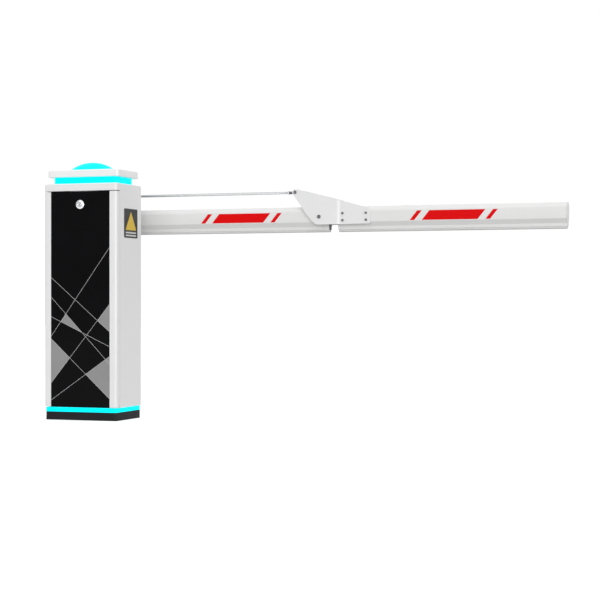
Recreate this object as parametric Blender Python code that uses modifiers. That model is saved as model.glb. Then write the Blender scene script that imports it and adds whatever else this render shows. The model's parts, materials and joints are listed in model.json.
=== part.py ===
"""Parking barrier gate: a floor-standing drive cabinet with a two-part folding boom.

Frame: +X along the boom, -Y towards the door side of the cabinet, +Z up; the origin is the centre of
the cabinet's underside. The boom hangs on the main shaft behind the cabinet. A tie rod, parallel to
the inner boom, keeps the outer boom level while the inner boom lifts.
"""

from math import asin, atan2, cos, degrees, pi, radians, sin

import bmesh
import bpy
from mathutils import Matrix, Vector

# ---------------------------------------------------------------- driving dimensions (metres)
GAP = 0.0003  # between pieces that touch

# cabinet
CABINET = Vector((0.328, 0.238))  # plan size
CABINET_TOP = 0.961
CORNER = 0.012  # vertical corner radius
SHEET = 0.003
PLINTH_INSET = 0.004
PLINTH_CORNER = 0.010
PLINTH_TOP = 0.033
LOWER_RING_TOP = 0.0512
RING_WALL = 0.006
SHELL_BOTTOM = 0.0518
SHELL_FLANGE = 0.014  # width of the shell's foot flange
BASE_THICKNESS = 0.012
BASE_CLEARANCE = 0.0035  # from the plinth's outside to the base plate
ANCHOR = Vector((0.125, 0.085))  # anchor holes, from the middle
ANCHOR_RADIUS = 0.008
CABLE_SLOT = ((0.030, -0.050), (0.100, 0.010))
UPPER_RING = Vector((0.276, 0.166))  # plan size
LID_BOTTOM = 0.9893
LID_TOP = 1.0187
LID = Vector((0.320, 0.198))  # plan size
LID_CORNER = 0.014
DOME_RADIUS = 0.095
DOME_HEIGHT = 0.0345
LABEL_CENTRE = (0.0115, 0.8015)
LABEL_HALF = (0.0625, 0.0595)

# door, hinges and lock
DOOR_BOTTOM = 0.0536
DOOR_TOP = 0.9280
DOOR_SKIN = 0.0025
HEADER_BOTTOM = 0.9310
DOOR_BACK = -0.0903
WALL_FRONT = -0.0885  # front edge of the shell's side walls
PANEL_HALF = 0.132
PANEL_THICKNESS = 0.003
DOOR_AXIS = Vector((0.0, -0.1125, 0.0650))
DOOR_LUG = (0.1380, 0.1410)  # x range of the lug that the pivot pin enters
LUG_TOP = 0.0740
HINGE_ARM = (0.1440, 0.1475)
HINGE_SLOT = (0.1430, 0.1485)  # x range of the notch in the door's foot
HINGE_NOSE = 0.0034
HINGE_PIN = 0.0020
STIFFENER = (0.062, 0.082)
STIFFENER_SHEET = 0.002
LOCK_Z = 0.8755
LOCK_BARREL = 0.0115
LOCK_BORE = 0.0120
ESCUTCHEON = 0.0190
PLUG = 0.0071
CAM_REACH = 0.044
CAM_PLANE = (-0.0845, -0.0822)
STRIKE_HALF = 0.060

# boom
BOOM_Y = 0.186  # centre plane of boom and tie rod
BOOM_HALF = 0.0225
BOOM_TOP = 0.8635
CREST_HALF = 0.0105  # half width of the boom's top
FACE_TOP = 0.846
FACE_BOTTOM = 0.801
RAIL_HALF = 0.0110
RAIL_TOP = 0.783
RAIL_BOTTOM = 0.770
RAIL_ROOM = 0.0075  # half width of the bumper's slot
RAIL_MOUTH = 0.0040
BUMPER_HALF = 0.0115
BUMPER_BOTTOM = 0.7615
BOOM_WALL = 0.0025
SHAFT_Z = 0.8235
ELBOW_X = 0.930
ROD_OFFSET = Vector((-0.102, 0.0, 0.100))  # from either boom pivot to the tie rod's pivot
TAIL_X = -0.085
INNER_END = ELBOW_X + 0.040
OUTER_START = ELBOW_X + 0.0755
TIP_X = 1.930
CAP = 0.0027
CAP_PLUG = 0.010

# elbow, seen from the front as (x, z), from under the tie rod's ear round by the top
ELBOW_CORNERS = [
    (0.848, 0.9322),
    (1.005, 0.8918),
    (1.019, 0.8868),
    (1.129, 0.8572),
    (1.139, 0.8530),
    (1.145, 0.8440),
    (1.145, 0.7980),
    (1.140, 0.7930),
    (1.012, 0.7920),
    (0.925, 0.7910),
    (0.913, 0.7950),
    (0.898, 0.8080),
    (0.864, 0.8490),
]
EAR = 0.0120
ELBOW_OUT = 0.0325  # outer face of the plates beside the inner boom, from the centre plane
ELBOW_IN = 0.0267  # and where they lie on the outer boom
ELBOW_SHEET = 0.004
JOGGLE = (1.005, 1.019)  # x range of the bend between the two
BUSH = 0.0120
PIVOT_BOLT = 0.0050
ROD_PIN = 0.0050
SPLICE_BOLT = 0.0030
SPLICES = [(x, z) for x in (1.028, 1.126) for z in (0.836, 0.808)]
BOLT_HEAD = 0.005  # height of each bolt's head and nut

# tie rod
ROD_RADIUS = 0.0055
ROD_START = 0.032  # from each pivot to the plain rod
ROD_EYE = 0.013
ROD_EYE_HALF = 0.006
STUD = 0.0050

# hub behind the cabinet
SHAFT_RADIUS = 0.018
SHAFT_FRONT = -0.058
HUB = (0.1255, 0.1385)  # y range
HUB_RADIUS = 0.055
SADDLE_HALF = 0.060
SADDLE_HEIGHTS = (0.742, 0.884)
CLAMP_BOLTS = [(x, z) for x in (-0.045, 0.045) for z in (0.752, 0.874)]
CLAMP_HOLE = 0.0053
CLAMP_SHEET = 0.006

# drive inside the cabinet
PLATE_FRONT = 0.1095  # front face of the mounting plate
PLATE_BACK = 0.1155
BRIDGE_HEIGHTS = (0.775, 0.872)
BRIDGE_HALF = 0.091
BRIDGE_FOOT = 0.110
BRIDGE_FRONT = -0.036
BRIDGE_SHEET = 0.006
BEARING_BOSS = 0.032
LEVER = 0.060  # lever and crank arm length
LEVER_ANGLE = radians(-45)
LEVER_PLANE = (-0.001, 0.011)  # y range of lever and crank
LEVER_HALF = 0.0110
LINK_PLANE = (-0.011, -0.003)  # y range of both links
LINK_END = 0.0125
PIN_RADIUS = 0.006
STOP_REACH = 0.048  # where each rubber stop meets the lever
STOP_SLEEVE = 0.010
GEARBOX_Z = 0.500
GEARBOX_HALF = 0.055
GEARBOX_FRONT = 0.038
MOTOR_Y = 0.073
MOTOR_RADIUS = 0.034
MOTOR_LENGTH = 0.165
CRANK_SHAFT = 0.0122
SPRING_LOW = 0.160
SPRING_HIGH = 0.620
SPRING_TURNS = 12
SPRING_RADIUS = 0.017
SPRING_WIRE = 0.0025

SHAFT = Vector((0.0, BOOM_Y, SHAFT_Z))
ELBOW = Vector((ELBOW_X, BOOM_Y, SHAFT_Z))
ROD_ANCHOR = SHAFT + ROD_OFFSET
ROD_JOINT = ELBOW + ROD_OFFSET

FINISHES = {  # colour, roughness, metallic
    "white_powder": ((0.84, 0.84, 0.83), 0.45, 0.0),
    "dark_powder": ((0.035, 0.036, 0.038), 0.55, 0.0),
    "black_acrylic": ((0.006, 0.006, 0.007), 0.12, 0.0),
    "cyan_light": ((0.01, 0.93, 1.0), 0.30, 0.0),
    "zinc_steel": ((0.55, 0.56, 0.58), 0.38, 1.0),
    "dark_steel": ((0.10, 0.10, 0.11), 0.45, 1.0),
    "chrome": ((0.80, 0.81, 0.83), 0.12, 1.0),
    "cast_grey": ((0.30, 0.32, 0.34), 0.55, 0.4),
    "black_plastic": ((0.02, 0.02, 0.022), 0.50, 0.0),
    "grey_plastic": ((0.48, 0.49, 0.50), 0.50, 0.0),
    "rubber": ((0.025, 0.025, 0.026), 0.75, 0.0),
    "grey_rubber": ((0.50, 0.50, 0.50), 0.65, 0.0),
}


# ---------------------------------------------------------------- shared makers
def clear_scene():
    for obj in list(bpy.data.objects):
        bpy.data.objects.remove(obj, do_unlink=True)


def collection(name):
    made = bpy.data.collections.new(name)
    bpy.context.scene.collection.children.link(made)
    return made


def give_finish(obj, finish):
    colour, roughness, metallic = FINISHES[finish]
    made = bpy.data.materials.new(obj.name + "_finish")
    made.use_nodes = True
    shader = made.node_tree.nodes["Principled BSDF"]
    shader.inputs["Base Color"].default_value = (*colour, 1.0)
    shader.inputs["Roughness"].default_value = roughness
    shader.inputs["Metallic"].default_value = metallic
    obj.data.materials.append(made)


def add_object(name, mesh, finish):
    """A named part; one with no finish is a helper, such as a cutter."""
    obj = bpy.data.objects.new(name, mesh)
    if finish:
        PARTS.objects.link(obj)
        give_finish(obj, finish)
        mesh.shade_smooth()
        mesh.set_sharp_from_angle(angle=radians(35))
    else:
        HELPERS.objects.link(obj)
        obj.hide_render = True
        obj.display_type = "WIRE"
    return obj


def mesh_from(name, bm):
    bmesh.ops.recalc_face_normals(bm, faces=bm.faces)
    mesh = bpy.data.meshes.new(name)
    bm.to_mesh(mesh)
    bm.free()
    return mesh


def block(name, low, high, finish=None, bevel=0.0):
    """A box between two corners, its edges rounded when bevel is given."""
    low, high = Vector(low), Vector(high)
    bm = bmesh.new()
    bmesh.ops.create_cube(bm, size=1.0)
    bmesh.ops.scale(bm, vec=high - low, verts=bm.verts)
    bmesh.ops.translate(bm, vec=(low + high) / 2, verts=bm.verts)
    obj = add_object(name, mesh_from(name, bm), finish)
    if bevel:
        rounding = obj.modifiers.new("rounding", "BEVEL")
        rounding.width = bevel
        rounding.segments = 2
    return obj


def bar(name, start, end, radius, finish=None, sides=24):
    """A round bar between two points."""
    start, end = Vector(start), Vector(end)
    turn = Vector((0, 0, 1)).rotation_difference(end - start).to_matrix().to_4x4()
    bm = bmesh.new()
    bmesh.ops.create_cone(
        bm,
        cap_ends=True,
        segments=sides,
        radius1=radius,
        radius2=radius,
        depth=(end - start).length,
        matrix=Matrix.Translation((start + end) / 2) @ turn,
    )
    return add_object(name, mesh_from(name, bm), finish)


def turned(name, centre, profile, finish, sides=24):
    """A turned piece with its axis along +Y; profile is (radius, y) from high y to low y."""
    mesh = bpy.data.meshes.new(name)
    points = [(radius, 0.0, y) for radius, y in profile]
    mesh.from_pydata(points, [(i, i + 1) for i in range(len(points) - 1)], [])
    obj = add_object(name, mesh, finish)
    obj.location = (centre[0], 0.0, centre[2])
    obj.rotation_euler = (radians(-90), 0.0, 0.0)
    turn_profile(obj, sides)
    return obj


def turn_profile(obj, sides):
    """Turns a profile round the object's own Z axis."""
    screw = obj.modifiers.new("turning", "SCREW")
    screw.steps = sides
    screw.render_steps = sides
    screw.use_merge_vertices = True
    screw.merge_threshold = 1e-5


PLANES = {  # local x, y and extrusion direction of an outline, as world directions
    "X": Matrix(((0, 0, 1), (1, 0, 0), (0, 1, 0))),
    "Y": Matrix(((1, 0, 0), (0, 0, -1), (0, 1, 0))),
    "Z": Matrix.Identity(3),
}


def plate(name, loops, axis, low, high, finish=None):
    """Closed outlines (the first is the outside, others are holes) extruded along an axis."""
    curve = bpy.data.curves.new(name, "CURVE")
    curve.dimensions = "2D"
    curve.fill_mode = "BOTH"
    curve.extrude = (high - low) / 2
    for loop in loops:
        spline = curve.splines.new("POLY")
        spline.points.add(len(loop) - 1)
        for point, (u, v) in zip(spline.points, loop):
            point.co = (u, v, 0.0, 1.0)
        spline.use_cyclic_u = True
    guide = bpy.data.objects.new(name + "_outline", curve)
    HELPERS.objects.link(guide)
    bpy.context.view_layer.update()
    mesh = bpy.data.meshes.new_from_object(guide.evaluated_get(bpy.context.evaluated_depsgraph_get()))
    bpy.data.objects.remove(guide)
    middle = Vector([(low + high) / 2 if letter == axis else 0.0 for letter in "XYZ"])
    mesh.transform(Matrix.Translation(middle) @ PLANES[axis].to_4x4())
    bm = bmesh.new()
    bm.from_mesh(mesh)
    bpy.data.meshes.remove(mesh)
    bmesh.ops.remove_doubles(bm, verts=bm.verts, dist=1e-6)
    return add_object(name, mesh_from(name, bm), finish)


def arc(centre, radius, start, end, steps):
    """Points on an arc, angles in degrees, both ends included."""
    return [
        (
            centre[0] + radius * cos(radians(start + (end - start) * i / steps)),
            centre[1] + radius * sin(radians(start + (end - start) * i / steps)),
        )
        for i in range(steps + 1)
    ]


def circle(centre, radius, sides=24):
    return arc(centre, radius, 0, 360 * (sides - 1) / sides, sides - 1)


def rectangle(low, high):
    return [(low[0], low[1]), (high[0], low[1]), (high[0], high[1]), (low[0], high[1])]


def rounded(half_x, half_y, radius, steps=4):
    """A rectangle about the origin with round corners."""
    x, y = half_x - radius, half_y - radius
    corners = ((x, y, 0), (-x, y, 90), (-x, -y, 180), (x, -y, 270))
    return [p for u, v, turn in corners for p in arc((u, v), radius, turn, turn + 90, steps)]


def strap(first, second, end_radius, half_width, steps=8):
    """Outline of a bar with round ends about two points."""
    first, second = Vector(first), Vector(second)
    along = second - first
    heading = degrees(atan2(along.y, along.x))
    spread = degrees(asin(half_width / end_radius))
    head = arc(second, end_radius, heading - 180 + spread, heading + 180 - spread, steps)
    foot = arc(first, end_radius, heading + spread, heading + 360 - spread, steps)
    return head + foot


def combine(obj, other, operation):
    """A Boolean of two meshes; the second becomes a hidden helper."""
    modifier = obj.modifiers.new(other.name, "BOOLEAN")
    modifier.operation = operation
    modifier.solver = "EXACT"
    modifier.object = other


def cut(obj, *cutters):
    for cutter in cutters:
        combine(obj, cutter, "DIFFERENCE")


def weld(obj, *others):
    for other in others:
        combine(obj, other, "UNION")


def hang(name, pivot, pieces):
    """Parents pieces to an empty that stands on their joint's axis."""
    empty = bpy.data.objects.new(name, None)
    empty.location = pivot
    PARTS.objects.link(empty)
    for piece in pieces:
        piece.parent = empty
        piece.matrix_parent_inverse = Matrix.Translation(pivot).inverted()
    return empty


# ---------------------------------------------------------------- cabinet
def make_base():
    half = CABINET / 2 - Vector((PLINTH_INSET, PLINTH_INSET))
    holes = [circle((x, y), ANCHOR_RADIUS, 12) for x in (-ANCHOR.x, ANCHOR.x) for y in (-ANCHOR.y, ANCHOR.y)]
    outline = rounded(half.x - BASE_CLEARANCE, half.y - BASE_CLEARANCE, 0.007)
    plate("base_plate", [outline, *holes, rectangle(*CABLE_SLOT)], "Z", 0.0, BASE_THICKNESS, "zinc_steel")
    skirt = ring(half, PLINTH_CORNER, SHEET)
    plate("plinth_skirt", skirt, "Z", 0.0, PLINTH_TOP, "dark_powder")
    lens = ring(half, PLINTH_CORNER, RING_WALL)
    plate("lower_light_ring", lens, "Z", PLINTH_TOP + GAP, LOWER_RING_TOP, "cyan_light")
    frame_half = half - Vector((0.007, 0.007))
    frame = ring(frame_half, 0.006, 0.004)
    plate("plinth_frame", frame, "Z", BASE_THICKNESS + GAP, SHELL_BOTTOM - GAP, "zinc_steel")


def ring(half, corner, wall):
    """Outside and inside of a rectangular ring, its inner corners a little tighter."""
    inner_corner = max(corner - wall, 0.002)
    return [rounded(half.x, half.y, corner), rounded(half.x - wall, half.y - wall, inner_corner)]


def make_shell():
    half = CABINET / 2
    inner = half - Vector((SHEET, SHEET))
    outline = rounded(half.x, half.y, CORNER)
    room = rounded(inner.x, inner.y, CORNER - SHEET)
    foot_low = (-inner.x + SHELL_FLANGE, -half.y, 0.0)
    foot_high = (inner.x - SHELL_FLANGE, inner.y - SHELL_FLANGE, 0.1)
    shell = plate("cabinet_shell", [outline], "Z", SHELL_BOTTOM, CABINET_TOP, "white_powder")
    cut(
        shell,
        plate("shell_room", [room], "Z", SHELL_BOTTOM + SHEET, CABINET_TOP - SHEET),
        block("shell_foot_opening", foot_low, foot_high),
        block("door_opening", (-0.2, -0.2, 0.0), (0.2, WALL_FRONT, HEADER_BOTTOM)),
        bar("shaft_opening", (0, 0.10, SHAFT_Z), (0, 0.14, SHAFT_Z), 0.029),
    )
    make_strike()
    label = [(y + LABEL_CENTRE[0], z + LABEL_CENTRE[1]) for y, z in rounded(*LABEL_HALF, 0.005)]
    plate("side_label", [label], "X", half.x + GAP, half.x + 0.0013, "black_plastic")


def make_strike():
    """The bent strip under the shell's top that the lock's cam turns up behind."""
    front, back, sheet = WALL_FRONT, -0.066, 0.0025
    low, high = 0.905, CABINET_TOP - SHEET - 0.0006
    bend = [(front, low), (front + sheet, low), (front + sheet, high - sheet)]
    bend += [(back, high - sheet), (back, high), (front, high)]
    plate("lock_strike", [bend], "X", -STRIKE_HALF, STRIKE_HALF, "zinc_steel")


def make_top():
    ring_half = UPPER_RING / 2
    lens = ring(ring_half, PLINTH_CORNER, RING_WALL)
    plate("upper_light_ring", lens, "Z", CABINET_TOP + GAP, LID_BOTTOM - GAP, "cyan_light")
    outline = rounded(*(LID / 2), LID_CORNER)
    lid = plate("lid", [outline], "Z", LID_BOTTOM, LID_TOP, "white_powder")
    pocket = ring_half - Vector((RING_WALL, RING_WALL))
    cut(lid, block("lid_pocket", (-pocket.x, -pocket.y, 0.9), (pocket.x, pocket.y, LID_TOP - SHEET)))
    make_dome()


def make_dome():
    """The lamp's lens: a thin spherical cap on the lid."""
    wall, steps, sides = 0.003, 8, 32
    base = LID_TOP + GAP
    sphere = (DOME_RADIUS**2 + DOME_HEIGHT**2) / (2 * DOME_HEIGHT)
    centre_z = base + DOME_HEIGHT - sphere

    def cap_profile(radius):
        widest = atan2((radius**2 - (base - centre_z) ** 2) ** 0.5, base - centre_z)
        angles = [widest * i / steps for i in range(steps + 1)]
        return [(radius * sin(angle), centre_z + radius * cos(angle)) for angle in angles]

    profile = cap_profile(sphere) + cap_profile(sphere - wall)[::-1]
    mesh = bpy.data.meshes.new("dome_lens")
    mesh.from_pydata([(r, 0.0, z) for r, z in profile], [(i, i + 1) for i in range(len(profile) - 1)], [])
    turn_profile(add_object("dome_lens", mesh, "cyan_light"), sides)


# ---------------------------------------------------------------- door
def make_door():
    door = make_door_skin()
    bottom, top = DOOR_BOTTOM + 0.0004, DOOR_TOP - 0.0004
    fold = door_fold()
    weld(door, plate("door_bottom_fold", [fold], "Z", bottom, bottom + DOOR_SKIN))
    weld(door, plate("door_top_fold", [fold], "Z", top - DOOR_SKIN, top))
    for side in (-1, 1):
        lug = sorted(side * x for x in DOOR_LUG)
        weld(
            door,
            block(f"door_lug_{side}", (lug[0], -0.1175, bottom), (lug[1], -0.1045, LUG_TOP)),
            make_stiffener(side),
        )
        pin_start, pin_end = side * (DOOR_LUG[0] - 0.002), side * (DOOR_LUG[1] + 0.0015)
        slot = sorted(side * x for x in HINGE_SLOT)
        corner = sorted((side * 0.150, side * 0.170))
        cut(
            door,
            bar(f"pivot_hole_{side}", (pin_start, *DOOR_AXIS.yz), (pin_end, *DOOR_AXIS.yz), 0.0023, sides=12),
            block(f"hinge_slot_{side}", (slot[0], -0.1163, 0.04), (slot[1], -0.08, 0.0600)),
            block(f"foot_corner_{side}", (corner[0], -0.0945, 0.04), (corner[1], -0.08, 0.0605)),
        )
    cut(door, bar("lock_hole_in_door", (0, -0.13, LOCK_Z), (0, -0.10, LOCK_Z), LOCK_BORE))
    front = -CABINET.y / 2
    outline = rectangle((-PANEL_HALF, DOOR_BOTTOM), (PANEL_HALF, DOOR_TOP))
    hole = circle((0.0, LOCK_Z), LOCK_BORE)
    panel = plate("door_panel", [outline, hole], "Y", front, front + PANEL_THICKNESS, "black_acrylic")
    return [door, panel]


def make_door_skin():
    """Folded sheet seen from above: a round stile on each side of the recess for the panel."""
    half = CABINET / 2
    stile = (half.x - CORNER, -half.y + CORNER)
    recess = -half.y + PANEL_THICKNESS
    outside = [
        (half.x, DOOR_BACK),
        *arc(stile, CORNER, 0, -90, 5),
        (PANEL_HALF + GAP, -half.y),
        (PANEL_HALF + GAP, recess + GAP),
    ]
    inside = [
        (half.x - DOOR_SKIN, DOOR_BACK),
        *arc(stile, CORNER - DOOR_SKIN, 0, -90, 5),
        (PANEL_HALF + DOOR_SKIN, -half.y + DOOR_SKIN),
        (PANEL_HALF + DOOR_SKIN, recess + 0.0023),
    ]
    outline = outside + across(outside) + [(-x, y) for x, y in inside] + inside[::-1]
    return plate("door_skin", [outline], "Z", DOOR_BOTTOM, DOOR_TOP, "white_powder")


def across(points):
    """The points on the other side of the middle, in turning order."""
    return [(-x, y) for x, y in points[::-1]]


def door_fold():
    """The door's folded foot and head, a hair inside its skin."""
    half, inset = CABINET / 2, 0.001
    edge = PANEL_HALF + 0.0012
    fold = [
        (half.x - inset, DOOR_BACK - inset),
        *arc((half.x - CORNER, -half.y + CORNER), CORNER - inset, 0, -90, 5),
        (edge, -half.y + inset),
        (edge, -half.y + PANEL_THICKNESS + inset),
    ]
    return fold + across(fold)


def make_stiffener(side):
    """A hat-shaped strip up the back of the door."""
    front, rear, sheet = -0.1145, -0.0975, STIFFENER_SHEET
    left, right = sorted(side * x for x in STIFFENER)
    outside = [(left, front), (left, rear), (right, rear), (right, front)]
    inside = [(right - sheet, front), (right - sheet, rear - sheet)]
    inside += [(left + sheet, rear - sheet), (left + sheet, front)]
    return plate(f"door_stiffener_{side}", [outside + inside], "Z", 0.080, 0.905)


def make_hinges():
    """Two arms on the side walls, each with the pivot pin that carries one end of the door's foot."""
    y, z = DOOR_AXIS.y, DOOR_AXIS.z
    foot_front, foot_back, foot_top = -0.084, -0.064, 0.0840
    for side, name in ((-1, "door_hinge_left"), (1, "door_hinge_right")):
        outline = arc((y, z), HINGE_NOSE, 90, 270, 6)
        outline += [(foot_back, z - HINGE_NOSE), (foot_back, foot_top)]
        outline += [(foot_front, foot_top), (foot_front, z + HINGE_NOSE)]
        arm = sorted(side * x for x in HINGE_ARM)
        hinge = plate(name, [outline], "X", arm[0], arm[1], "zinc_steel")
        wall = CABINET.x / 2 - SHEET - GAP
        foot = sorted((side * (HINGE_ARM[1] - 0.001), side * wall))
        weld(
            hinge,
            bar(f"hinge_pin_{side}", (side * 0.1365, y, z), (side * 0.1450, y, z), HINGE_PIN, sides=12),
            block(f"hinge_foot_{side}", (foot[0], -0.083, 0.0625), (foot[1], -0.065, 0.0830)),
        )


def make_lock():
    face = -CABINET.y / 2
    back = -0.0990
    profile = [
        (0.0075, back),
        (LOCK_BARREL, back),
        (LOCK_BARREL, face - GAP),
        (ESCUTCHEON, face - GAP),
        (ESCUTCHEON, face - 0.0030),
        (0.0165, face - 0.0050),
        (0.0085, face - 0.0050),
        (0.0075, face - 0.0040),
        (0.0075, back),
    ]
    body = turned("lock_body", (0.0, 0.0, LOCK_Z), profile, "chrome")
    plug = bar("lock_plug", (0, face - 0.0055, LOCK_Z), (0, CAM_PLANE[1] + 0.0002, LOCK_Z), PLUG, "chrome")
    cut(plug, block("key_slot", (-0.0010, -0.13, LOCK_Z - 0.0045), (0.0010, face + 0.002, LOCK_Z + 0.0045)))
    outline = strap((0.0, LOCK_Z), (-CAM_REACH, LOCK_Z), 0.0110, 0.0080)
    hole = circle((0.0, LOCK_Z), PLUG + GAP)
    cam = plate("lock_cam", [outline, hole], "Y", *CAM_PLANE, "zinc_steel")
    hang("lock_turn_axis", Vector((0.0, face, LOCK_Z)), [plug, cam])
    return body


# ---------------------------------------------------------------- drive inside the cabinet
def lever_end(centre, side):
    """The pin point of a lever arm (side 1) or of the arm opposite it (side -1)."""
    reach = side * LEVER
    return (centre[0] + reach * cos(LEVER_ANGLE), centre[1] + reach * sin(LEVER_ANGLE))


def make_supports():
    board = rectangle((-0.140, 0.0560), (0.140, 0.905))
    shaft_hole = circle((0.0, SHAFT_Z), 0.025)
    plate("mounting_plate", [board, shaft_hole], "Y", PLATE_FRONT, PLATE_BACK, "zinc_steel")
    make_bridge()
    clearance = SHAFT_RADIUS + GAP
    make_bearing("front_bearing", BRIDGE_FRONT - GAP, -0.0520, clearance)
    make_bearing("rear_bearing", PLATE_FRONT - GAP, 0.0880, clearance)
    seal = [circle((0.0, SHAFT_Z), 0.034), circle((0.0, SHAFT_Z), clearance)]
    plate("shaft_seal", seal, "Y", CABINET.y / 2 + GAP, HUB[0] - 0.001, "rubber")
    make_stop("down_stop", 135, 45)
    make_stop("up_stop", 225, 315)


def make_bridge():
    """The bent bracket that holds the shaft's front bearing."""
    back = PLATE_FRONT - GAP
    foot = back - BRIDGE_SHEET
    outside = [(BRIDGE_FOOT, back), (BRIDGE_FOOT, foot), (BRIDGE_HALF, foot), (BRIDGE_HALF, BRIDGE_FRONT)]
    inside = [(BRIDGE_HALF - BRIDGE_SHEET, back), (BRIDGE_HALF - BRIDGE_SHEET, BRIDGE_FRONT + BRIDGE_SHEET)]
    outline = outside + across(outside) + [(-x, y) for x, y in inside] + inside[::-1]
    bridge = plate("bearing_bridge", [outline], "Z", *BRIDGE_HEIGHTS, "zinc_steel")
    cut(bridge, bar("bridge_opening", (0, -0.05, SHAFT_Z), (0, 0.0, SHAFT_Z), 0.022))


def make_bearing(name, rear, front, bore):
    flange = strap((-0.040, SHAFT_Z), (0.040, SHAFT_Z), 0.016, 0.015)
    bearing = plate(name, [flange], "Y", rear - 0.008, rear, "cast_grey")
    weld(bearing, bar(name + "_boss", (0, front, SHAFT_Z), (0, rear - 0.001, SHAFT_Z), BEARING_BOSS))
    cut(bearing, bar(name + "_bore", (0, front - 0.01, SHAFT_Z), (0, rear + 0.01, SHAFT_Z), bore))


def make_stop(name, along, aside):
    """A rubber sleeve on a stud, touching the lever's side; both angles are in degrees."""
    clear = LEVER_HALF + STOP_SLEEVE + GAP
    x = STOP_REACH * cos(radians(along)) + clear * cos(radians(aside))
    z = STOP_REACH * sin(radians(along)) + clear * sin(radians(aside))
    back, front, shoulder = PLATE_FRONT - GAP, -0.001, 0.014
    profile = [(0, back), (0.006, back), (0.006, shoulder)]
    profile += [(STOP_SLEEVE, shoulder), (STOP_SLEEVE, front), (0, front)]
    turned(name, (x, 0, SHAFT_Z + z), profile, "rubber", 16)


def make_gearmotor():
    """Worm gearbox on the mounting plate with its motor hanging below it."""
    back, z, half = PLATE_FRONT - GAP, GEARBOX_Z, GEARBOX_HALF
    gearbox = block("gearbox", (-half, GEARBOX_FRONT, z - half), (half, back, z + half), "cast_grey", 0.008)
    flange_bottom = z - half - 0.013
    weld(
        gearbox,
        bar("output_cap", (0, GEARBOX_FRONT - 0.008, z), (0, GEARBOX_FRONT + 0.004, z), 0.032),
        bar("motor_flange", (0, MOTOR_Y, flange_bottom), (0, MOTOR_Y, z - 0.050), MOTOR_RADIUS),
    )
    cut(gearbox, bar("output_bore", (0, 0.02, z), (0, 0.070, z), CRANK_SHAFT + GAP))
    top = flange_bottom - GAP
    motor = bar("motor", (0, MOTOR_Y, top - MOTOR_LENGTH), (0, MOTOR_Y, top), MOTOR_RADIUS, "dark_powder", 32)
    weld(motor, block("motor_terminal_box", (0.020, 0.050, top - 0.090), (0.066, 0.096, top - 0.030)))


def make_lever_and_crank():
    pin_tip = LINK_PLANE[0] - 0.005
    ends = [lever_end((0.0, SHAFT_Z), side) for side in (-1, 1)]
    lever = plate("shaft_lever", [strap(*ends, LINK_END, LEVER_HALF)], "Y", *LEVER_PLANE, "dark_steel")
    weld(lever, bar("lever_hub", (0, LEVER_PLANE[0] - 0.0002, SHAFT_Z), (0, 0.026, SHAFT_Z), 0.026))
    cut(lever, bar("lever_bore", (0, -0.02, SHAFT_Z), (0, 0.04, SHAFT_Z), SHAFT_RADIUS + GAP))
    for index, (x, z) in enumerate(ends):
        weld(lever, bar(f"lever_pin_{index}", (x, pin_tip, z), (x, 0.002, z), PIN_RADIUS, sides=16))
    gear_centre = (0.0, GEARBOX_Z)
    tip = lever_end(gear_centre, 1)
    crank = plate("crank_arm", [strap(gear_centre, tip, 0.018, 0.0120)], "Y", *LEVER_PLANE, "dark_steel")
    weld(
        crank,
        bar("crank_shaft", (0, 0.005, GEARBOX_Z), (0, 0.068, GEARBOX_Z), CRANK_SHAFT),
        bar("crank_pin", (tip[0], pin_tip, tip[1]), (tip[0], 0.002, tip[1]), PIN_RADIUS, sides=16),
    )
    hang("crank_axis", Vector((0.0, 0.0, GEARBOX_Z)), [crank])
    make_drive_link(ends[1], tip)
    make_balance(ends[0])
    return lever


def make_drive_link(top, bottom):
    """The link turns closely on the lever's pin; its lower eye has play round the crank's pin."""
    eyes = [circle(top, PIN_RADIUS + GAP, 16), circle(bottom, PIN_RADIUS + 2 * GAP, 16)]
    link = plate("drive_link", [strap(top, bottom, LINK_END, 0.0080), *eyes], "Y", *LINK_PLANE, "zinc_steel")
    hang("drive_link_axis", Vector((top[0], 0.0, top[1])), [link])


def make_balance(pin):
    """The balance spring, its bracket on the base and the flat link that hangs it on the lever."""
    x, y = pin[0], sum(LINK_PLANE) / 2
    hook = (x, SPRING_HIGH + 0.016)
    eyes = [circle(pin, PIN_RADIUS + GAP, 16), circle(hook, 0.0045, 12)]
    link = plate("spring_link", [strap(pin, hook, LINK_END, 0.0070), *eyes], "Y", *LINK_PLANE, "zinc_steel")
    hang("spring_link_axis", Vector((x, 0.0, pin[1])), [link])
    floor, foot_top = BASE_THICKNESS + GAP, BASE_THICKNESS + 0.0063
    foot_low, foot_high = (x - 0.030, y - 0.025, floor), (x + 0.030, y + 0.025, foot_top)
    bracket = block("spring_bracket", foot_low, foot_high, "zinc_steel")
    weld(
        bracket,
        block("spring_post", (x - 0.018, y - 0.004, floor + 0.004), (x + 0.018, y + 0.004, 0.136)),
        bar("spring_stud", (x, y, 0.130), (x, y, SPRING_LOW - 0.003), 0.0060, sides=16),
    )
    make_spring(x, y)


def make_spring(x, y):
    per_turn = 10
    curve = bpy.data.curves.new("balance_spring", "CURVE")
    curve.dimensions = "3D"
    curve.bevel_depth = SPRING_WIRE
    curve.bevel_resolution = 2
    curve.use_fill_caps = True
    steps = SPRING_TURNS * per_turn
    low, high = SPRING_LOW + SPRING_WIRE, SPRING_HIGH - SPRING_WIRE
    spline = curve.splines.new("POLY")
    spline.points.add(steps)
    for index, point in enumerate(spline.points):
        turn = 2 * pi * index / per_turn
        height = low + (high - low) * index / steps
        point.co = (x + SPRING_RADIUS * cos(turn), y + SPRING_RADIUS * sin(turn), height, 1.0)
    spring = bpy.data.objects.new("balance_spring", curve)
    PARTS.objects.link(spring)
    give_finish(spring, "dark_steel")


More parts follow.
